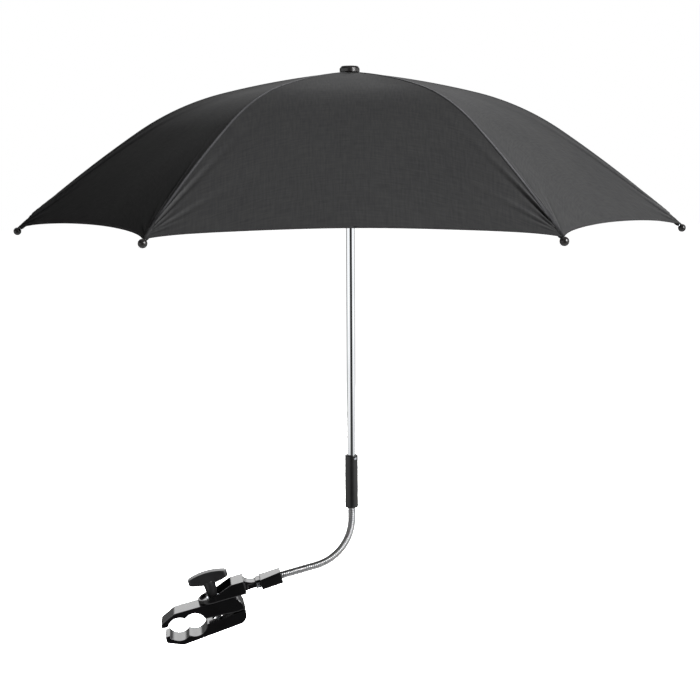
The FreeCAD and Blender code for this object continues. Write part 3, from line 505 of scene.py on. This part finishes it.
@dataclass(frozen=True)
class RibLine:
    """The curve of a rib in its own upright plane, in mm from the mast's axis and the crown's pivots."""

    pivot_radius: float = 10.0
    breaks: tuple[float, float] = (139.0, 233.2)
    reach: float = 366.0
    slopes: tuple[float, float, float, float] = (5.5, 13.6, 34.0, 40.8)

    @staticmethod
    def square(slope: float) -> Vector:
        """The direction square to the rib where it slopes down by an angle in radians."""
        return Vector((math.sin(slope), 0, math.cos(slope)))

    @cached_property
    def arcs(self) -> list[tuple[Vector, float, float, float]]:
        """Centre, radius, first reach and first slope of each of the rib's tangent arcs."""
        stops = (self.pivot_radius, *self.breaks, self.reach)
        here = Vector((self.pivot_radius, 0, 0))
        arcs = []
        for near, far, flat, steep in zip(stops, stops[1:], self.slopes, self.slopes[1:]):
            first, last = math.radians(flat), math.radians(steep)
            radius = (far - near) / (math.sin(last) - math.sin(first))
            centre = here - self.square(first) * radius
            here = centre + self.square(last) * radius
            arcs.append((centre, radius, near, first))
        return arcs

    def arc_at(self, reach: float) -> tuple[Vector, float, float]:
        """The arc that the rib follows at a reach.

        Args:
            reach: Distance from the mast's axis in mm.

        Returns:
            The arc's centre and radius in mm, and the slope there in radians.
        """
        passed = [arc for arc in self.arcs if arc[2] <= reach]
        centre, radius, near, first = passed[-1] if passed else self.arcs[0]
        return centre, radius, math.asin(math.sin(first) + (reach - near) / radius)

    def slope(self, reach: float) -> float:
        """The rib's slope at a reach, in radians below level."""
        return self.arc_at(reach)[2]

    def outward(self, reach: float) -> Vector:
        """The direction square to the rib at a reach, away from the mast's foot."""
        return self.square(self.slope(reach))

    def point(self, reach: float, rise: float) -> Vector:
        """The point at a reach, moved square to the rib by a rise.

        Args:
            reach: Distance from the mast's axis in mm.
            rise: Distance above the line through the rib's pivots in mm.

        Returns:
            The point in mm.
        """
        centre, radius, slope = self.arc_at(reach)
        return centre + self.square(slope) * (radius + rise)


@dataclass(frozen=True)
class Fold:
    """One drawn fold in the cloth that runs up from a rib's tip: degrees from the rib, and mm.

    The hollow beside the ridge has a share of its height, and is set aside by a number of widths. The changes
    are the shares by which the fold's angle, length and depth differ from tip to tip.
    """

    angle: float
    width: float
    length: float
    height: float
    hollow: float = 0.6
    hollow_set: float = 1.8
    onset: float = 16.0
    fade_power: int = 4
    angle_change: float = 0.16
    length_change: float = 0.25
    depth_change: float = 0.3

    def share_at(self, angle: float, distance: float, change: float, slack: float) -> float:
        """How much of the fold there is at a place: 1 on its ridge, and below 0 in the hollow beside it.

        Args:
            angle: The place's angle from the rib in degrees, seen from the tip.
            distance: Its distance from the tip in mm.
            change: From -1 to 1, to make one tip's folds differ from the next one's.
            slack: How slack the cloth is at this tip, which makes its folds longer and deeper.

        Returns:
            The share.
        """
        aside = (angle - self.angle * (1 + self.angle_change * change)) / self.width
        start = min(1.0, distance / self.onset)
        length = self.length * slack * (1 + self.length_change * change)
        fade = 1 / (1 + (distance / length) ** self.fade_power)
        ridge = math.exp(-aside * aside) - self.hollow * math.exp(-((aside - self.hollow_set) ** 2))
        return slack * (1 - self.depth_change * change) * start * fade * ridge


@dataclass(frozen=True)
class Cloth:
    """The canopy's upper side, stretched over the ribs. Lengths are in mm.

    Every gore takes its points from this one formula, so that they meet in one unbroken sheet. A place on it
    is a share from the crown (0) to the hem (1), and a way across from mid-panel (-1) over the rib (0) to the
    next mid-panel (1). A strip is that way without its sign, and the sign is the side. The phases make each
    rib, side and fold differ from the others.
    """

    line: RibLine
    axis: Vector
    crown_height: float
    rib_count: int = 6
    turn: float = -6.8
    rise: float = 2.7
    hole_radius: float = 7.5
    hem_scallop: float = 13.6
    sag: float = 4.0
    tip_draw: float = 4.0
    tip_draw_strip: float = 0.09
    folds: tuple[Fold, ...] = (
        Fold(8.0, 2.6, 58.0, 1.8),
        Fold(24.0, 3.4, 24.0, 1.5),
        Fold(35.0, 4.2, 31.0, 1.4),
        Fold(54.0, 5.0, 17.0, 0.8),
    )
    slack: tuple[float, ...] = (1.3, 1.0, 1.0, 1.4, 1.0, 1.0)
    fold_clear: float = 2.0
    fold_end_power: int = 4
    billow: float = 0.7
    billow_wave: float = 47.0
    billow_onset: float = 120.0
    rib_phase: float = 1.7
    side_phase: float = 0.9
    fold_phase: float = 2.1

    @property
    def half_panel(self) -> float:
        """Half the angle between two ribs, in radians."""
        return math.pi / self.rib_count

    def azimuth(self, number: int) -> float:
        """A rib's direction round the mast in radians, for its number from one."""
        return math.radians(self.turn + (number - 1) * 360 / self.rib_count)

    def placed(self, point: Vector, number: int) -> Vector:
        """Carry a point from a rib's own plane in mm to the row frame in metres."""
        turned = Matrix.Rotation(self.azimuth(number), 3, "Z") @ point
        return (turned + Vector((self.axis.x, self.axis.y, self.crown_height))) * MM

    def half_width(self, reach: float) -> float:
        """The distance from a rib to mid-panel at a reach."""
        return reach * math.tan(self.half_panel)

    def drawn_in(self, strip: float) -> float:
        """How much of the hem's hollow and the panel's sag there is, from rib (0) to mid-panel (1)."""
        return strip * (2 - strip)

    def reach(self, share: float, strip: float) -> float:
        """The reach of a place on the cloth from crown to hem."""
        steepest = math.radians(self.line.slopes[-1])
        drawn_out = self.tip_draw * math.exp(-strip / self.tip_draw_strip)
        hem = self.line.reach - (self.hem_scallop * self.drawn_in(strip) - drawn_out) * math.cos(steepest)
        return self.hole_radius + (hem - self.hole_radius) * share

    def phase(self, number: int, side: float) -> float:
        """An angle of its own for each side of each rib."""
        return self.rib_phase * number + self.side_phase * side

    def fold_shares(self, reach: float, strip: float, number: int, side: float) -> list[float]:
        """How much of each drawn fold there is at a place on the cloth.

        Args:
            reach: Distance from the mast in mm.
            strip: Share of the way from the rib to mid-panel.
            number: The rib's number from one.
            side: Plus or minus one for the two sides of the rib.

        Returns:
            One share for each fold.
        """
        aside = strip * self.half_width(reach)
        along = self.line.reach - reach
        distance = math.hypot(aside, along)
        angle = math.degrees(math.atan2(aside, max(along, TINY)))
        inside = min(1.0, aside / self.fold_clear) * (1 - strip ** self.fold_end_power)
        shares = []
        for place, fold in enumerate(self.folds):
            change = math.sin(self.phase(number, side) + self.fold_phase * place)
            shares.append(fold.share_at(angle, distance, change, self.slack[number - 1]) * inside)
        return shares

    def creases(self, reach: float, strip: float, number: int, side: float) -> float:
        """The cloth's shift outwards in mm by the folds at a rib's tip and the slow billow of the panel.

        Args:
            reach: Distance from the mast in mm.
            strip: Share of the way from the rib to mid-panel.
            number: The rib's number from one.
            side: Plus or minus one for the two sides of the rib.

        Returns:
            The shift.
        """
        shares = self.fold_shares(reach, strip, number, side)
        drawn = sum(share * fold.height for share, fold in zip(shares, self.folds))
        slow = math.sin(reach / self.billow_wave + self.phase(number, side))
        between = math.sin(math.pi * strip) ** 2 * (1 - strip / 2)
        return drawn + self.billow * slow * between * min(1.0, reach / self.billow_onset)

    def painted_light(self, share: float, across: float, number: int) -> float:
        """Painted highlight (above 0) on the folds' ridges and painted shade (below 0) in their hollows."""
        strip, side = abs(across), math.copysign(1.0, across)
        return sum(self.fold_shares(self.reach(share, strip), strip, number, side))

    def surface(self, share: float, across: float, number: int) -> Vector:
        """The cloth's upper side over one rib.

        Args:
            share: From the crown (0) to the hem (1).
            across: From mid-panel (-1) over the rib (0) to the next mid-panel (1).
            number: The rib's number from one.

        Returns:
            The point in the rib's own plane, in mm.
        """
        strip, side = abs(across), math.copysign(1.0, across)
        half = self.half_panel
        reach = self.reach(share, strip)
        ridge = self.line.point(reach, self.rise)
        ahead = Matrix.Rotation(2 * half, 3, "Z") @ ridge
        chord = ridge.lerp(ahead, strip / 2)
        pitch = math.atan(math.tan(self.line.slope(reach)) / math.cos(half))
        level = Vector((math.cos(half), math.sin(half), 0))
        outward = level * math.sin(pitch) + Vector((0, 0, math.cos(pitch)))
        hollow = self.sag * self.drawn_in(strip) * share * (2 - share)
        point = chord - outward * (hollow - self.creases(reach, strip, number, side))
        return Vector((point.x, side * point.y, point.z))


@dataclass(frozen=True)
class Gore:
    """One cut panel of the cloth over a rib, as a thin closed sheet. Lengths are in mm."""

    cloth: Cloth
    thickness: float = 0.5
    cut_length: float = 402.6
    long_steps: int = 150
    cross_steps: int = 140
    long_crowding: float = 1.5
    cross_crowding: float = 1.8

    def crowded(self, share: float) -> float:
        """Draw the grid's rows together towards the hem, where the folds are finest."""
        return 1 - (1 - share) ** self.long_crowding

    def spread(self, share: float) -> float:
        """Turn a share across the grid into a place from mid-panel to mid-panel, crowded at the rib."""
        across = 2 * share - 1
        return math.copysign(abs(across) ** self.cross_crowding, across)

    def flat_place(self, share: float, across: float) -> tuple[float, float]:
        """The same point on the flat cut panel, in metres, with the threads along the panel's middle."""
        length = self.cut_length * share * MM
        turn = math.copysign(self.cloth.half_panel * (1 - abs(across)), across)
        return (length * math.cos(turn), length * math.sin(turn))

    def build(self, number: int) -> bpy.types.Object:
        """Make the gore of one rib."""
        cloth = self.cloth
        piece = mapped_grid(
            f"canopy_cloth_{number}", self.long_steps, self.cross_steps,
            lambda s, t: cloth.placed(cloth.surface(self.crowded(s), self.spread(t), number), number),
            lambda s, t: self.flat_place(self.crowded(s), self.spread(t)),
            painted_light=lambda s, t: cloth.painted_light(self.crowded(s), self.spread(t), number),
        )
        if piece.data.polygons[0].normal.z < 0:
            piece.data.flip_normals()
        sheet = piece.modifiers.new("cloth thickness", "SOLIDIFY")
        sheet.thickness = self.thickness * MM
        sheet.offset = -1.0
        return piece


@dataclass(frozen=True)
class RibSeam:
    """The felled seam over a rib from cap to tip, with painted shade at its sides. Lengths are in mm."""

    gore: Gore
    half_width: float = 2.3
    height: float = 0.55
    girth: float = 9.2
    sides: int = 10
    crest_share: float = 0.35
    side_shade: float = 0.85
    fade_from: float = 0.84

    def point(self, share: float, around: float, number: int) -> Vector:
        """A point of the seam's skin.

        Args:
            share: From the crown (0) to the hem (1).
            around: Share of the way round the seam.
            number: The rib's number from one.

        Returns:
            The point in metres.
        """
        cloth = self.gore.cloth
        angle = 2 * math.pi * around
        reach = cloth.reach(share, 0)
        across = self.half_width * math.cos(angle) / max(cloth.half_width(reach), self.half_width)
        lift = cloth.line.outward(reach) * (self.height * math.sin(angle))
        return cloth.placed(cloth.surface(share, across, number) + lift, number)

    def painted_light(self, share: float, around: float) -> float:
        """Painted shade at the seam's sides, and its painted highlight fading near the tip."""
        aside = (abs(math.cos(2 * math.pi * around)) - self.crest_share) / (1 - self.crest_share)
        near_tip = (share - self.fade_from) / (1 - self.fade_from)
        return -max(self.side_shade * max(0.0, aside), near_tip)

    def build(self, number: int) -> bpy.types.Object:
        """Make the seam of one rib."""
        length = self.gore.cloth.line.reach
        return mapped_grid(
            f"rib_seam_{number}", self.gore.long_steps, self.sides,
            lambda s, t: self.point(s, t, number),
            lambda s, t: (s * length * MM, t * self.girth * MM), closed=True, painted_light=self.painted_light,
        )


@dataclass(frozen=True)
class Hem:
    """The rolled hem along a gore's lower edge, pressed flatter than round. Lengths are in mm."""

    gore: Gore
    radius: float = 0.55
    flatness: float = 1.8
    girth: float = 3.85
    sides: int = 10
    inner_share: float = 0.99

    def point(self, along: float, around: float, number: int) -> Vector:
        """A point of the hem's skin.

        Args:
            along: Share of the way along the hem.
            around: Share of the way round the roll.
            number: The rib's number from one.

        Returns:
            The point in metres.
        """
        cloth = self.gore.cloth
        across = self.gore.spread(along)
        angle = 2 * math.pi * around
        rim = cloth.surface(1.0, across, number)
        inside = (cloth.surface(self.inner_share, across, number) - rim).normalized()
        up = cloth.line.outward(cloth.line.reach)
        flat = inside * (self.flatness * self.radius * (1 + math.cos(angle)))
        lift = up * (self.radius * math.sin(angle) - self.gore.thickness / 2)
        return cloth.placed(rim + flat + lift, number)

    def build(self, number: int) -> bpy.types.Object:
        """Make the hem of one gore."""
        length = self.gore.cloth.line.reach
        return mapped_grid(
            f"canopy_hem_{number}", self.gore.cross_steps, self.sides,
            lambda s, t: self.point(s, t, number),
            lambda s, t: (s * length * MM, t * self.girth * MM), closed=True,
        )


@dataclass(frozen=True)
class TipPocket:
    """The little sewn pocket that slips over a rib's end and holds the cloth out. Lengths are in mm."""

    cloth: Cloth
    length: float = 11.0
    over: float = 1.6
    level_share: float = 0.76
    half_width: float = 2.5
    half_height: float = 2.75
    rise: float = 0.35
    taper: float = 0.28
    roundness: float = 0.7
    girth: float = 16.0
    steps: tuple[int, int] = (14, 24)

    def swollen(self, share: float) -> float:
        """Fill out a sine or a cosine, so that the pocket is squarer than an oval."""
        return math.copysign(abs(share) ** self.roundness, share)

    def point(self, share: float, around: float, number: int) -> Vector:
        """A point of the pocket's skin.

        Args:
            share: From the pocket's mouth (0) to its end over the tip (1).
            around: Share of the way round it.
            number: The rib's number from one.

        Returns:
            The point in metres.
        """
        angle = 2 * math.pi * around
        reach = self.cloth.line.reach + (self.over - self.length * (1 - share)) * self.level_share
        bulge = 1 - self.taper * share * share
        aside = self.half_width * bulge * self.swollen(math.cos(angle))
        rise = self.rise + self.half_height * bulge * self.swollen(math.sin(angle))
        point = self.cloth.line.point(reach, rise)
        return self.cloth.placed(Vector((point.x, aside, point.z)), number)

    def build(self, number: int) -> bpy.types.Object:
        """Make the pocket of one rib."""
        return mapped_grid(
            f"tip_pocket_{number}", *self.steps,
            lambda s, t: self.point(s, t, number),
            lambda s, t: (s * self.length * MM, t * self.girth * MM), closed=True,
        )


@dataclass(frozen=True)
class Canopy:
    """The whole canopy: one gore to each rib, from mid-panel to mid-panel, with its trim.

    The folded share, the share of its width that a gore would keep when the canopy folds, is not used.
    """

    cloth: Cloth
    folded_share: float = 0.22

    def build(self, palette: Palette) -> None:
        """Make and dress every gore and its trim, and join them to the ribs."""
        gores = Gore(self.cloth)
        for number in range(1, self.cloth.rib_count + 1):
            gore = gores.build(number)
            seam = RibSeam(gores).build(number)
            hem = Hem(gores).build(number)
            pocket = TipPocket(self.cloth).build(number)
            for piece in (gore, seam, hem, pocket):
                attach(piece, f"rib_{number}")
                palette.dress(piece, Finish.SEAM if piece is seam else Finish.CLOTH)
            azimuth = self.cloth.azimuth(number)
            anchor = self.cloth.placed(Vector((self.cloth.line.pivot_radius, 0, 0)), number)
            for piece in (gore, hem):
                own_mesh(piece)
            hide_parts(f"canopy_gore_{number}")
            LOG.info("gore %d with its seam, hem and tip pocket", number)


@dataclass(frozen=True)
class Gooseneck:
    """The wound steel neck: a straight run out of its socket, a bend, and a rise into the mast's sleeve.

    Lengths are in mm. Its first and last stretches are fixed in place, and the middle one joins the neck.
    """

    top: Vector
    tilt: float = 14.0
    run: float = 40.6
    bend_radius: float = 55.6
    rise: float = 13.0
    crest_radius: float = 4.45
    root_radius: float = 3.5
    winding: float = 2.3
    steps_to_winding: int = 10
    sides: int = 28
    joins: tuple[float, float] = (52.15, 68.15)
    held_end: float = 4.0
    held_join: float = 3.0

    @property
    def bend_length(self) -> float:
        """Length of the bend along its middle."""
        return self.bend_radius * math.radians(90 - self.tilt)

    @property
    def length(self) -> float:
        """Whole length along the middle."""
        return self.run + self.bend_length + self.rise

    def heading(self, at: float) -> float:
        """The neck's slope above level at a length along it, in radians."""
        bent = min(max(at - self.run, 0.0), self.bend_length)
        return math.radians(self.tilt) + bent / self.bend_radius

    def middle(self, at: float) -> Vector:
        """The point on the neck's middle line at a length along it."""
        centre = self.top + Vector((-self.bend_radius, 0, -self.rise))
        bent = self.heading(at)
        point = centre + Vector((math.sin(bent), 0, -math.cos(bent))) * self.bend_radius
        way = Vector((math.cos(bent), 0, math.sin(bent)))
        spare = min(at - self.run, 0.0) + max(at - self.run - self.bend_length, 0.0)
        return point + way * spare

    def point(self, at: float, around: float) -> Vector:
        """A point of the winding's skin.

        Args:
            at: Length along the neck in mm.
            around: Share of the way round it.

        Returns:
            The point in metres.
        """
        turn = 2 * math.pi * around
        phase = (at / self.winding - around) % 1.0
        crest = math.sqrt(1 - (2 * phase - 1) ** 2)
        radius = self.root_radius + (self.crest_radius - self.root_radius) * crest
        slope = self.heading(at)
        up = Vector((-math.sin(slope), 0, math.cos(slope)))
        side = up * math.cos(turn) + Vector((0, math.sin(turn), 0))
        return (self.middle(at) + side * radius) * MM

    def stretch(self, name: str, start: float, end: float) -> bpy.types.Object:
        """Make a stretch of the winding.

        Args:
            name: The piece's name.
            start: Length along the neck where it starts, in mm.
            end: Length along the neck where it ends, in mm.

        Returns:
            The new object.
        """
        span = end - start
        girth = 2 * math.pi * self.crest_radius
        steps = round(span / self.winding * self.steps_to_winding)
        return mapped_grid(
            name, steps, self.sides,
            lambda s, t: self.point(start + span * s, t),
            lambda s, t: (span * s * MM, girth * t * MM), closed=True,
        )

    def build(self, palette: Palette) -> None:
        """Make the three stretches, fix the first and last in place and join the middle one to the neck."""
        low, high = self.joins
        lower = self.stretch("wound_neck_lower", 0.0, low)
        middle = self.stretch("wound_neck_middle", low, high)
        upper = self.stretch("wound_neck_upper", high, self.length)
        self.middle(self.held_end) * MM
        self.middle(low - self.held_join) * MM
        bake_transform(lower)
        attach(middle, "neck")
        self.middle(high + self.held_join) * MM
        self.middle(self.length - self.held_end) * MM
        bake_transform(upper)
        nodes = {"gooseneck_lower": lower, "gooseneck_middle": middle, "gooseneck_upper": upper}
        for node, piece in nodes.items():
            palette.dress(piece, Finish.WOUND)
            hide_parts(node)
            LOG.info("%s stands for %s", piece.name, node)


@dataclass(frozen=True)
class Lamp:
    """One square soft light: its place and side in metres, its power, and whether gloss mirrors it."""

    name: str
    spot: tuple[float, float, float]
    side: float
    watts: float
    mirrored: bool

    def build(self, target: Vector) -> None:
        """Hang the light so that it faces a target."""
        data = bpy.data.lights.new(self.name, "AREA")
        data.size = self.side
        data.energy = self.watts
        lamp = new_object(self.name, data)
        lamp.location = self.spot
        lamp.rotation_euler = (target - Vector(self.spot)).to_track_quat("-Z", "Y").to_euler()
        lamp.visible_camera = False
        lamp.visible_glossy = self.mirrored


@dataclass(frozen=True)
class Surround:
    """The studio as gloss mirrors it: pale sides and floor, bright paper behind, a dark gap at the camera.

    Each profile gives brightness by a share of a direction from -1 to 1, along Y, which runs away from the
    camera, or along Z. The haze is what lights cloth and other soft surfaces.
    """

    ring_by_y: Profile = ((-1.0, 0.03), (-0.93, 0.03), (-0.8, 1.35), (0.4, 1.2), (0.6, 0.15), (1.0, 0.2))
    sky_by_y: Profile = ((-1.0, 0.05), (0.3, 0.12), (0.75, 0.3), (0.88, 2.2), (1.0, 2.2))
    zenith_by_z: Profile = ((-1.0, 0.0), (0.72, 0.0), (0.9, 0.25), (1.0, 0.25))
    ground_by_z: Profile = ((-1.0, 0.9), (-0.72, 0.9), (-0.55, 0.06), (1.0, 0.06))
    skirt_by_y: Profile = ((-1.0, 0.06), (-0.8, 0.06), (-0.55, 0.7), (0.3, 0.7), (0.55, 0.06))
    haze_by_z: Profile = ((-1.0, 0.4), (-0.06, 0.4), (0.06, 0.045))
    sky_from: tuple[float, float] = (0.1, 0.22)
    ground_from: tuple[float, float] = (-0.12, -0.28)

    def bands(
        self, tree: bpy.types.NodeTree, direction: bpy.types.NodeSocket, profile: Profile,
    ) -> bpy.types.NodeSocket:
        """Brightness along one direction.

        Args:
            tree: The world's node tree.
            direction: A share of a direction, from -1 to 1.
            profile: Brightness by that share.

        Returns:
            The brightness as a colour socket.
        """
        share = add_node(tree, "ShaderNodeMapRange", {"From Min": -1.0}, {"Value": direction})
        stops = {(place + 1) / 2: (light, light, light, 1.0) for place, light in profile}
        lit = add_node(tree, "ShaderNodeValToRGB", {"stops": stops}, {"Fac": share.outputs["Result"]})
        return lit.outputs["Color"]

    def build(self) -> None:
        """Set up the world: mirrored surround, haze for soft surfaces, and plain white for the camera."""
        world = bpy.data.worlds.new("studio surround")
        world.use_nodes = True
        tree = world.node_tree
        way = add_node(tree, "ShaderNodeTexCoord").outputs["Generated"]
        split = add_node(tree, "ShaderNodeSeparateXYZ", links={"Vector": way})
        depth, height = split.outputs["Y"], split.outputs["Z"]
        upward, downward = (
            add_node(tree, "ShaderNodeMapRange", {"From Min": start, "From Max": end}, {"Value": height})
            for start, end in (self.sky_from, self.ground_from)
        )
        sky = add_node(
            tree, "ShaderNodeMix", {"data_type": "RGBA", "blend_type": "ADD", MIX_SHARE: 1.0},
            {MIX_FIRST: self.bands(tree, depth, self.sky_by_y),
             MIX_SECOND: self.bands(tree, height, self.zenith_by_z)},
        )
        above = add_node(
            tree, "ShaderNodeMix", {"data_type": "RGBA"},
            {MIX_SHARE: upward.outputs["Result"], MIX_FIRST: self.bands(tree, depth, self.ring_by_y),
             MIX_SECOND: sky.outputs[MIX_RESULT]},
        )
        below = add_node(
            tree, "ShaderNodeMix", {"data_type": "RGBA", "blend_type": "LIGHTEN", MIX_SHARE: 1.0},
            {MIX_FIRST: self.bands(tree, height, self.ground_by_z),
             MIX_SECOND: self.bands(tree, depth, self.skirt_by_y)},
        )
        around = add_node(
            tree, "ShaderNodeMix", {"data_type": "RGBA"},
            {MIX_SHARE: downward.outputs["Result"], MIX_FIRST: above.outputs[MIX_RESULT],
             MIX_SECOND: below.outputs[MIX_RESULT]},
        )
        path = add_node(tree, "ShaderNodeLightPath")
        soft = add_node(
            tree, "ShaderNodeMix", {"data_type": "RGBA"},
            {MIX_SHARE: path.outputs["Is Diffuse Ray"], MIX_FIRST: around.outputs[MIX_RESULT],
             MIX_SECOND: self.bands(tree, height, self.haze_by_z)},
        )
        shown = add_node(
            tree, "ShaderNodeMix", {"data_type": "RGBA", MIX_SECOND: WHITE},
            {MIX_SHARE: path.outputs["Is Camera Ray"], MIX_FIRST: soft.outputs[MIX_RESULT]},
        )
        tree.links.new(shown.outputs[MIX_RESULT], tree.nodes["Background"].inputs["Color"])
        bpy.context.scene.world = world


@dataclass(frozen=True)
class Studio:
    """The camera at the photograph's angle, a pale floor and soft lights. Lengths are in metres."""

    mast: Vector
    stand: tuple[float, float, float] = (-0.1918, -1.493, 0.500)
    tilt_down: float = 7.13
    yaw_right: float = -0.04
    roll: float = -0.28
    lens_mm: float = 69.1
    sensor_mm: float = 36.0
    floor_height: float = -0.24
    floor_side: float = 40.0
    floor_colour: str = "#f6f6f6"
    floor_roughness: float = 0.9
    floor_glow: float = 0.95
    lamp_target: float = 0.45
    lamps: tuple[Lamp, ...] = (
        Lamp("key", (0.8, 2.34, 1.7), 1.4, 310, mirrored=False),
        Lamp("fill", (1.96, -1.9, 1.49), 1.2, 112, mirrored=True),
    )

    def camera(self) -> None:
        """Set up the camera, at the canopy's height and aimed at the mast."""
        data = bpy.data.cameras.new("camera")
        data.sensor_fit = "HORIZONTAL"
        data.sensor_width = self.sensor_mm
        data.lens = self.lens_mm
        eye = new_object("camera", data)
        stand = Vector(self.stand)
        way = Vector((-stand.x, -stand.y, 0)).normalized()
        way.z = -math.tan(math.radians(self.tilt_down))
        aim = Matrix.Rotation(math.radians(-self.yaw_right), 3, "Z") @ way
        roll = Matrix.Rotation(math.radians(self.roll), 3, "Z").to_quaternion()
        eye.location = stand + Vector((self.mast.x, self.mast.y, 0))
        eye.rotation_euler = (aim.to_track_quat("-Z", "Y") @ roll).to_euler()
        bpy.context.scene.camera = eye

    def floor(self) -> None:
        """A wide plain floor below the clamp."""
        shape = bmesh.new()
        bmesh.ops.create_grid(shape, x_segments=1, y_segments=1, size=self.floor_side / 2)
        mesh = bpy.data.meshes.new("floor")
        shape.to_mesh(mesh)
        shape.free()
        floor = new_object("floor", mesh)
        floor.location = (self.mast.x, 0, self.floor_height)
        floor.visible_glossy = False
        floor.visible_diffuse = False
        material, _, shader = new_surface("white studio floor")
        shader.inputs["Base Color"].default_value = linear(self.floor_colour)
        shader.inputs["Roughness"].default_value = self.floor_roughness
        shader.inputs["Emission Color"].default_value = WHITE
        shader.inputs["Emission Strength"].default_value = self.floor_glow
        mesh.materials.append(material)

    def build(self) -> None:
        """Set up the camera, the floor, the lights and the white surround."""
        self.camera()
        self.floor()
        for lamp in self.lamps:
            lamp.build(Vector((self.mast.x, 0, self.lamp_target)))
        Surround().build()
        bpy.context.scene.view_settings.view_transform = "Standard"


def middle_of(node: str) -> Vector:
    """The middle of a CAD node's box, in mm."""
    low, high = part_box(node)
    return (Vector(low) + Vector(high)) / 2 / MM


def main() -> None:
    """Build the scene: studio first, then every finish and piece."""
    logging.basicConfig(level=logging.INFO, format="%(name)s: %(message)s")
    mast = middle_of("mast")
    Studio(mast * MM).build()
    palette = Palette.mix()
    palette.dress_frame()
    Canopy(Cloth(RibLine(), mast, middle_of("crown_wire").z)).build(palette)
    sleeve_foot = Vector(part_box("mast_sleeve")[0]).z / MM
    Gooseneck(Vector((mast.x, mast.y, sleeve_foot))).build(palette)


if __name__ == "__main__":
    main()
